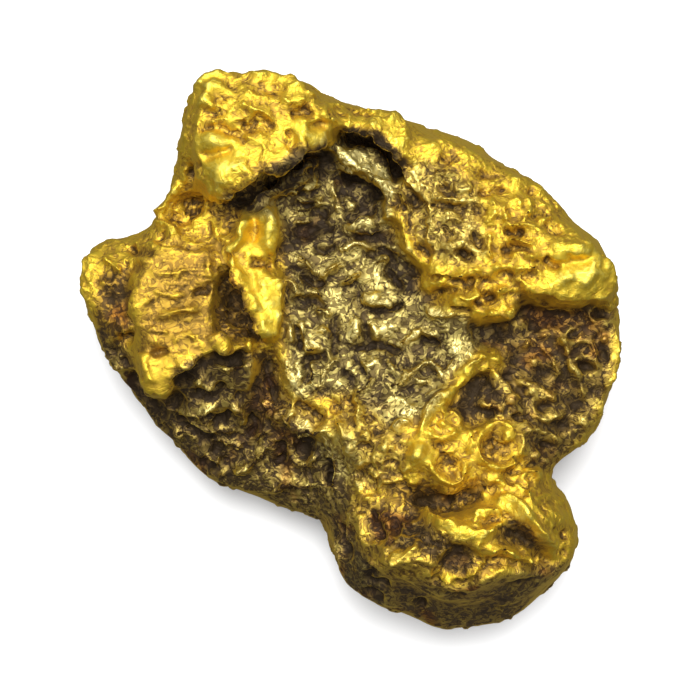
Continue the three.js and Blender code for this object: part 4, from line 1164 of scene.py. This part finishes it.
def paint_wear_and_shade(piece):
    """Crests and rubbed places are worn bright, and the shelf below the shoulder gets painted light; crevices
    take dirt and painted shade, and low faces and the side walls stain and painted shade.
    """
    clay = Clay(piece)
    pairs = edges_of(piece.data)
    fine = stand_out(clay, pairs, FINE_ROUNDS)
    middle = stand_out(clay, pairs, MIDDLE_ROUNDS)
    closed = shelter(piece, clay, pairs)
    zone = masks_of(clay, ZONES, soft=0.25)
    polished = polish_of(clay, soft=0.2) * clay.top
    side = soft_step((SIDE_STARTS - clay.facing[:, 2]) / SIDE_SPAN)
    crests = weigh(FINE_WEAR, zone, FINE_WEAR_MORE) * fine + MIDDLE_WEAR * middle
    lines = weigh(STROKE_WEAR, zone, STROKE_WEAR_MORE) * drawn_strokes(clay)
    # rubbed: polish on the rubbed places, and painted light on the shadowed shelf below the shoulder
    rubbed = POLISH_WEAR * np.clip(polished, 0, 1) + SHELF_PAINTED_LIGHT * zone["undercut"]
    # worn holds the wear, less painted shade and dirt where the skin is closed in, plus painted light on the
    # shelf
    worn = PLAIN_WEAR + crests + lines - CREVICE_SHADE_AND_DIRT * closed + rubbed
    pitted = np.maximum(clay.top, SIDE_PITS * side) - 0.35 * polished - 0.3 * zone["plate"]
    # zone darkening: stain, and painted shade on the faces turned from the light
    brown = np.clip(weigh(0.0, zone, STAINS_AND_SHADE), 0, 1)
    paint(piece, "worn", worn)
    paint(piece, "dull", weigh(0.0, zone, DULLED))
    paint(piece, "pitted", np.clip(pitted, 0.15, 1))
    # the zones' darkening or the side walls' stain and painted shade, whichever is more
    paint(piece, "stain_and_shade", np.maximum(brown, SIDE_STAIN_AND_SHADE * side))


# ---------------------------------------------------------------------------------------------------------
# Materials

class Nodes:
    """Adds nodes to the tree of a material or the world, and links them."""

    def __init__(self, owner):
        owner.use_nodes = True
        self.tree = owner.node_tree
        self.tree.nodes.clear()

    def add(self, kind, **settings):
        node = self.tree.nodes.new(kind)
        for key, value in settings.items():
            setattr(node, key, value)
        return node

    def link(self, source, target):
        self.tree.links.new(source, target)

    def attribute(self, name):
        return self.add("ShaderNodeAttribute", attribute_name=name).outputs["Fac"]

    def mix(self, factor, first, second, how="MIX"):
        node = self.add("ShaderNodeMix", data_type="RGBA", blend_type=how)
        for socket, value in ((node.inputs[0], factor), (node.inputs[6], first), (node.inputs[7], second)):
            if isinstance(value, bpy.types.NodeSocket):
                self.link(value, socket)
            else:
                socket.default_value = value
        return node.outputs[2]

    def math(self, operation, first, second=0.0):
        node = self.add("ShaderNodeMath", operation=operation)
        for socket, value in zip(node.inputs, (first, second)):
            if isinstance(value, bpy.types.NodeSocket):
                self.link(value, socket)
            else:
                socket.default_value = value
        return node.outputs[0]

    def ramp(self, value, low, high, to_low=0.0, to_high=1.0):
        """A smooth step from to_low to to_high while value goes from low to high."""
        node = self.add("ShaderNodeMapRange", interpolation_type="SMOOTHSTEP")
        self.link(value, node.inputs["Value"])
        for name, number in zip(("From Min", "From Max", "To Min", "To Max"), (low, high, to_low, to_high)):
            node.inputs[name].default_value = number
        return node.outputs["Result"]

    def noise(self, place, size_mm, detail=3.0, rough=0.6, distortion=0.0):
        node = self.add("ShaderNodeTexNoise")
        self.link(place, node.inputs["Vector"])
        node.inputs["Scale"].default_value = 1 / (size_mm * MM)
        node.inputs["Detail"].default_value = detail
        node.inputs["Roughness"].default_value = rough
        node.inputs["Distortion"].default_value = distortion
        return node.outputs["Fac"]

    def sum(self, *terms):
        """The sum of (value, weight) pairs."""
        total = 0.0
        for value, weight in terms:
            node = self.add("ShaderNodeMath", operation="MULTIPLY_ADD")
            for socket, part in zip(node.inputs, (value, weight, total)):
                if isinstance(part, bpy.types.NodeSocket):
                    self.link(part, socket)
                else:
                    socket.default_value = part
            total = node.outputs[0]
        return total

    def colours(self, value, stops):
        """A colour for each value, from stops of (value, colour)."""
        node = self.add("ShaderNodeValToRGB")
        self.link(value, node.inputs[0])
        elements = node.color_ramp.elements
        for element, (position, colour) in zip(elements, (stops[0], stops[-1])):
            element.position = position
            element.color = (*colour, 1)
        for position, colour in stops[1:-1]:
            elements.new(position).color = (*colour, 1)
        return node.outputs["Color"]


# Colours from the bottom of a crevice, dark with dirt and painted shade, to a rubbed crest
GOLD = [(0.0, (0.035, 0.02, 0.006)), (0.2, (0.12, 0.07, 0.022)), (0.4, (0.41, 0.25, 0.042)),
        (0.58, (0.69, 0.47, 0.048)), (0.78, (0.715, 0.52, 0.046)), (0.95, (0.8, 0.63, 0.1))]
LEAF = [(0.0, (0.03, 0.019, 0.009)), (0.22, (0.1, 0.068, 0.028)), (0.45, (0.26, 0.195, 0.065)),
        (0.68, (0.52, 0.42, 0.13)), (0.92, (1.0, 0.87, 0.36))]
RUST_TINT = (1.0, 0.68, 0.6, 1)


def native_gold():
    """Gold that is bright where it is worn, brown in its crevices with dirt and painted shade, and paler
    where it is dull.

    Four attributes say where: how worn it is, with painted shade and painted light in it, how dull, how
    pitted, and how much stain and painted shade darken it."""
    material = bpy.data.materials.new("native_gold")
    n = Nodes(material)
    place = n.add("ShaderNodeTexCoord").outputs["Object"]
    worn, pitted = n.attribute("worn"), n.attribute("pitted")
    dull, stain_and_shade = n.attribute("dull"), n.attribute("stain_and_shade")

    blotch = n.noise(place, size_mm=1.1)
    flecks = n.noise(place, size_mm=0.33, detail=2.5, rough=0.55, distortion=1.6)
    fleck = n.ramp(flecks, 0.45, 0.55, to_low=-0.5, to_high=0.5)
    wander = n.noise(place, size_mm=0.55, detail=0.5, rough=0.5, distortion=1.8)
    crack = n.ramp(n.math("ABSOLUTE", n.math("SUBTRACT", wander, 0.5)), 0.0, 0.05, to_low=1.0, to_high=0.0)
    strength = n.math("MULTIPLY", pitted, n.sum((dull, 0.4), (1.0, 0.6)))
    relief = n.math("MULTIPLY", n.sum((fleck, 0.34), (crack, -0.2)), strength)
    # shine: wear and painted light, less stain and painted shade, with random tone
    shine = n.sum((worn, 1.0), (relief, 1.0), (stain_and_shade, -0.36), (blotch, 0.2), (1.0, -0.12))

    metal = n.mix(dull, n.colours(shine, GOLD), n.colours(shine, LEAF))
    patches = n.ramp(n.noise(place, size_mm=1.7, detail=2.0), 0.5, 0.68, to_high=0.85)
    rust = n.math("MULTIPLY", patches, n.ramp(stain_and_shade, 0.5, 0.9))
    colour = n.mix(rust, metal, RUST_TINT, "MULTIPLY")
    grain = n.noise(place, size_mm=0.09, detail=2.0)

    shader = n.add("ShaderNodeBsdfPrincipled")
    n.link(colour, shader.inputs["Base Color"])
    n.link(n.ramp(shine, 0.0, 0.3, to_low=0.6, to_high=1.0), shader.inputs["Metallic"])
    n.link(n.ramp(shine, 0.2, 0.95, to_low=0.65, to_high=0.53), shader.inputs["Roughness"])
    shader.inputs["Specular IOR Level"].default_value = 0.25
    bump = n.add("ShaderNodeBump")
    bump.inputs["Strength"].default_value = 0.8
    bump.inputs["Distance"].default_value = 0.05 * MM
    n.link(n.sum((relief, 1.0), (grain, 0.12)), bump.inputs["Height"])
    n.link(bump.outputs["Normal"], shader.inputs["Normal"])
    n.link(shader.outputs[0], n.add("ShaderNodeOutputMaterial").inputs["Surface"])
    return material


def pale_ground():
    """A pale floor that is darker in mirrored light only, so that the metal above it keeps its dark sides."""
    material = bpy.data.materials.new("pale_ground")
    n = Nodes(material)
    place = n.add("ShaderNodeTexCoord").outputs["Object"]
    shader = n.add("ShaderNodeBsdfPrincipled")
    pale = n.mix(n.noise(place, size_mm=40.0), (0.86, 0.86, 0.86, 1), (0.9, 0.9, 0.9, 1))
    mirrored = n.add("ShaderNodeLightPath").outputs["Is Glossy Ray"]
    n.link(n.mix(mirrored, pale, (0.1, 0.1, 0.1, 1)), shader.inputs["Base Color"])
    shader.inputs["Roughness"].default_value = 0.8
    shader.inputs["Specular IOR Level"].default_value = 0.1
    n.link(shader.outputs[0], n.add("ShaderNodeOutputMaterial").inputs["Surface"])
    return material


# ---------------------------------------------------------------------------------------------------------
# The nugget

def triangles(piece):
    return sum(len(face.vertices) - 2 for face in piece.data.polygons)


def round_tips(piece, clay):
    """What stands proud is worn back, and nothing reaches far above the top of the plain solid."""
    clay.read()
    proud = stand_out(clay, edges_of(piece.data), TIP_ROUNDS)
    clay.lift = -TIP_WORN * np.clip(proud - TIP_PROUD, 0, None)
    clay.press()
    clay.read()
    above = np.maximum(clay.at[:, 2] - CREST, 0)
    clay.at[:, 2] += CREST_SPARE * np.tanh(above / CREST_SPARE) - above
    clay.press()


def thin_out(piece, clay):
    """Brings the mesh down to size, and gives up more of it underneath than on top."""
    hidden = mask_group(piece, "hidden", 1 - soft_step((clay.facing[:, 2] + 0.3) / 0.4))
    apply(piece, "DECIMATE", decimate_type="COLLAPSE", ratio=UNDERSIDE_KEPT, vertex_group=hidden)
    piece.vertex_groups.clear()
    apply(piece, "DECIMATE", decimate_type="COLLAPSE", ratio=MAX_TRIANGLES / triangles(piece))


def make_nugget():
    """The masses, then the fine texture, then the wear with its painted shade and light, and at the end the
    true size in metres.
    """
    piece = rough_copy()
    clay = Clay(piece)
    set_levels(clay)
    for shape in SHAPES:
        shape(clay)
    clay.press()
    apply(piece, "REMESH", mode="VOXEL", voxel_size=SKIN_VOXEL, adaptivity=0.0)
    keep_one_piece(piece)
    clay = cut_textures(piece)
    round_tips(piece, clay)
    thin_out(piece, clay)
    paint_wear_and_shade(piece)
    piece.data.transform(Matrix.Scale(MM, 4))
    only(piece)
    bpy.ops.object.shade_smooth()
    piece.data.materials.append(native_gold())
    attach(piece, "root")
    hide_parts("nugget")


# ---------------------------------------------------------------------------------------------------------
# Stage, light and camera

def make_stage():
    """A wide pale floor."""
    bpy.ops.object.select_all(action="DESELECT")
    bpy.ops.mesh.primitive_plane_add(size=3.0, location=(0, 0, 0))
    ground = bpy.context.object
    ground.name = "ground"
    ground.data.materials.append(pale_ground())


def add_area(name, place, aim, size, power):
    light = bpy.data.lights.new(name, "AREA")
    light.shape = "DISK"
    light.size = size
    light.energy = power
    lamp = bpy.data.objects.new(name, light)
    bpy.context.scene.collection.objects.link(lamp)
    lamp.location = place
    lamp.rotation_euler = (Vector(aim) - Vector(place)).to_track_quat("-Z", "Y").to_euler()


def make_light():
    """A large soft light overhead, a little towards the far side, in a pale room.

    Polished metal mirrors darker walls than the eye sees, below a bright ceiling."""
    add_area("overhead_softbox", place=(0.0, 0.1, 0.28), aim=(0, 0, 0), size=0.16, power=1.0)
    world = bpy.data.worlds.new("studio")
    bpy.context.scene.world = world
    n = Nodes(world)
    way = n.add("ShaderNodeTexCoord").outputs["Generated"]
    towards = n.add("ShaderNodeVectorMath", operation="DOT_PRODUCT")
    n.link(way, towards.inputs[0])
    towards.inputs[1].default_value = (0.0, 0.33, 0.94)
    ceiling = n.ramp(towards.outputs["Value"], 0.05, 0.95, to_low=0.11, to_high=0.9)
    mirrored = n.add("ShaderNodeLightPath").outputs["Is Glossy Ray"]
    shade = n.mix(mirrored, (0.88, 0.88, 0.88, 1), ceiling)
    background = n.add("ShaderNodeBackground")
    n.link(shade, background.inputs["Color"])
    n.link(background.outputs[0], n.add("ShaderNodeOutputWorld").inputs["Surface"])


def make_camera():
    """Straight above the nugget."""
    camera = bpy.data.cameras.new("camera")
    camera.lens = 100
    camera.sensor_width = 36
    camera.clip_start = 0.002
    camera.clip_end = 10
    frame_width = 23.33 * MM
    girdle_height = 3.0 * MM
    holder = bpy.data.objects.new("camera", camera)
    bpy.context.scene.collection.objects.link(holder)
    holder.location = (0, 0, girdle_height + frame_width * camera.lens / camera.sensor_width)
    bpy.context.scene.camera = holder


make_nugget()
make_stage()
make_light()
make_camera()
bpy.context.scene.view_settings.view_transform = "Standard"
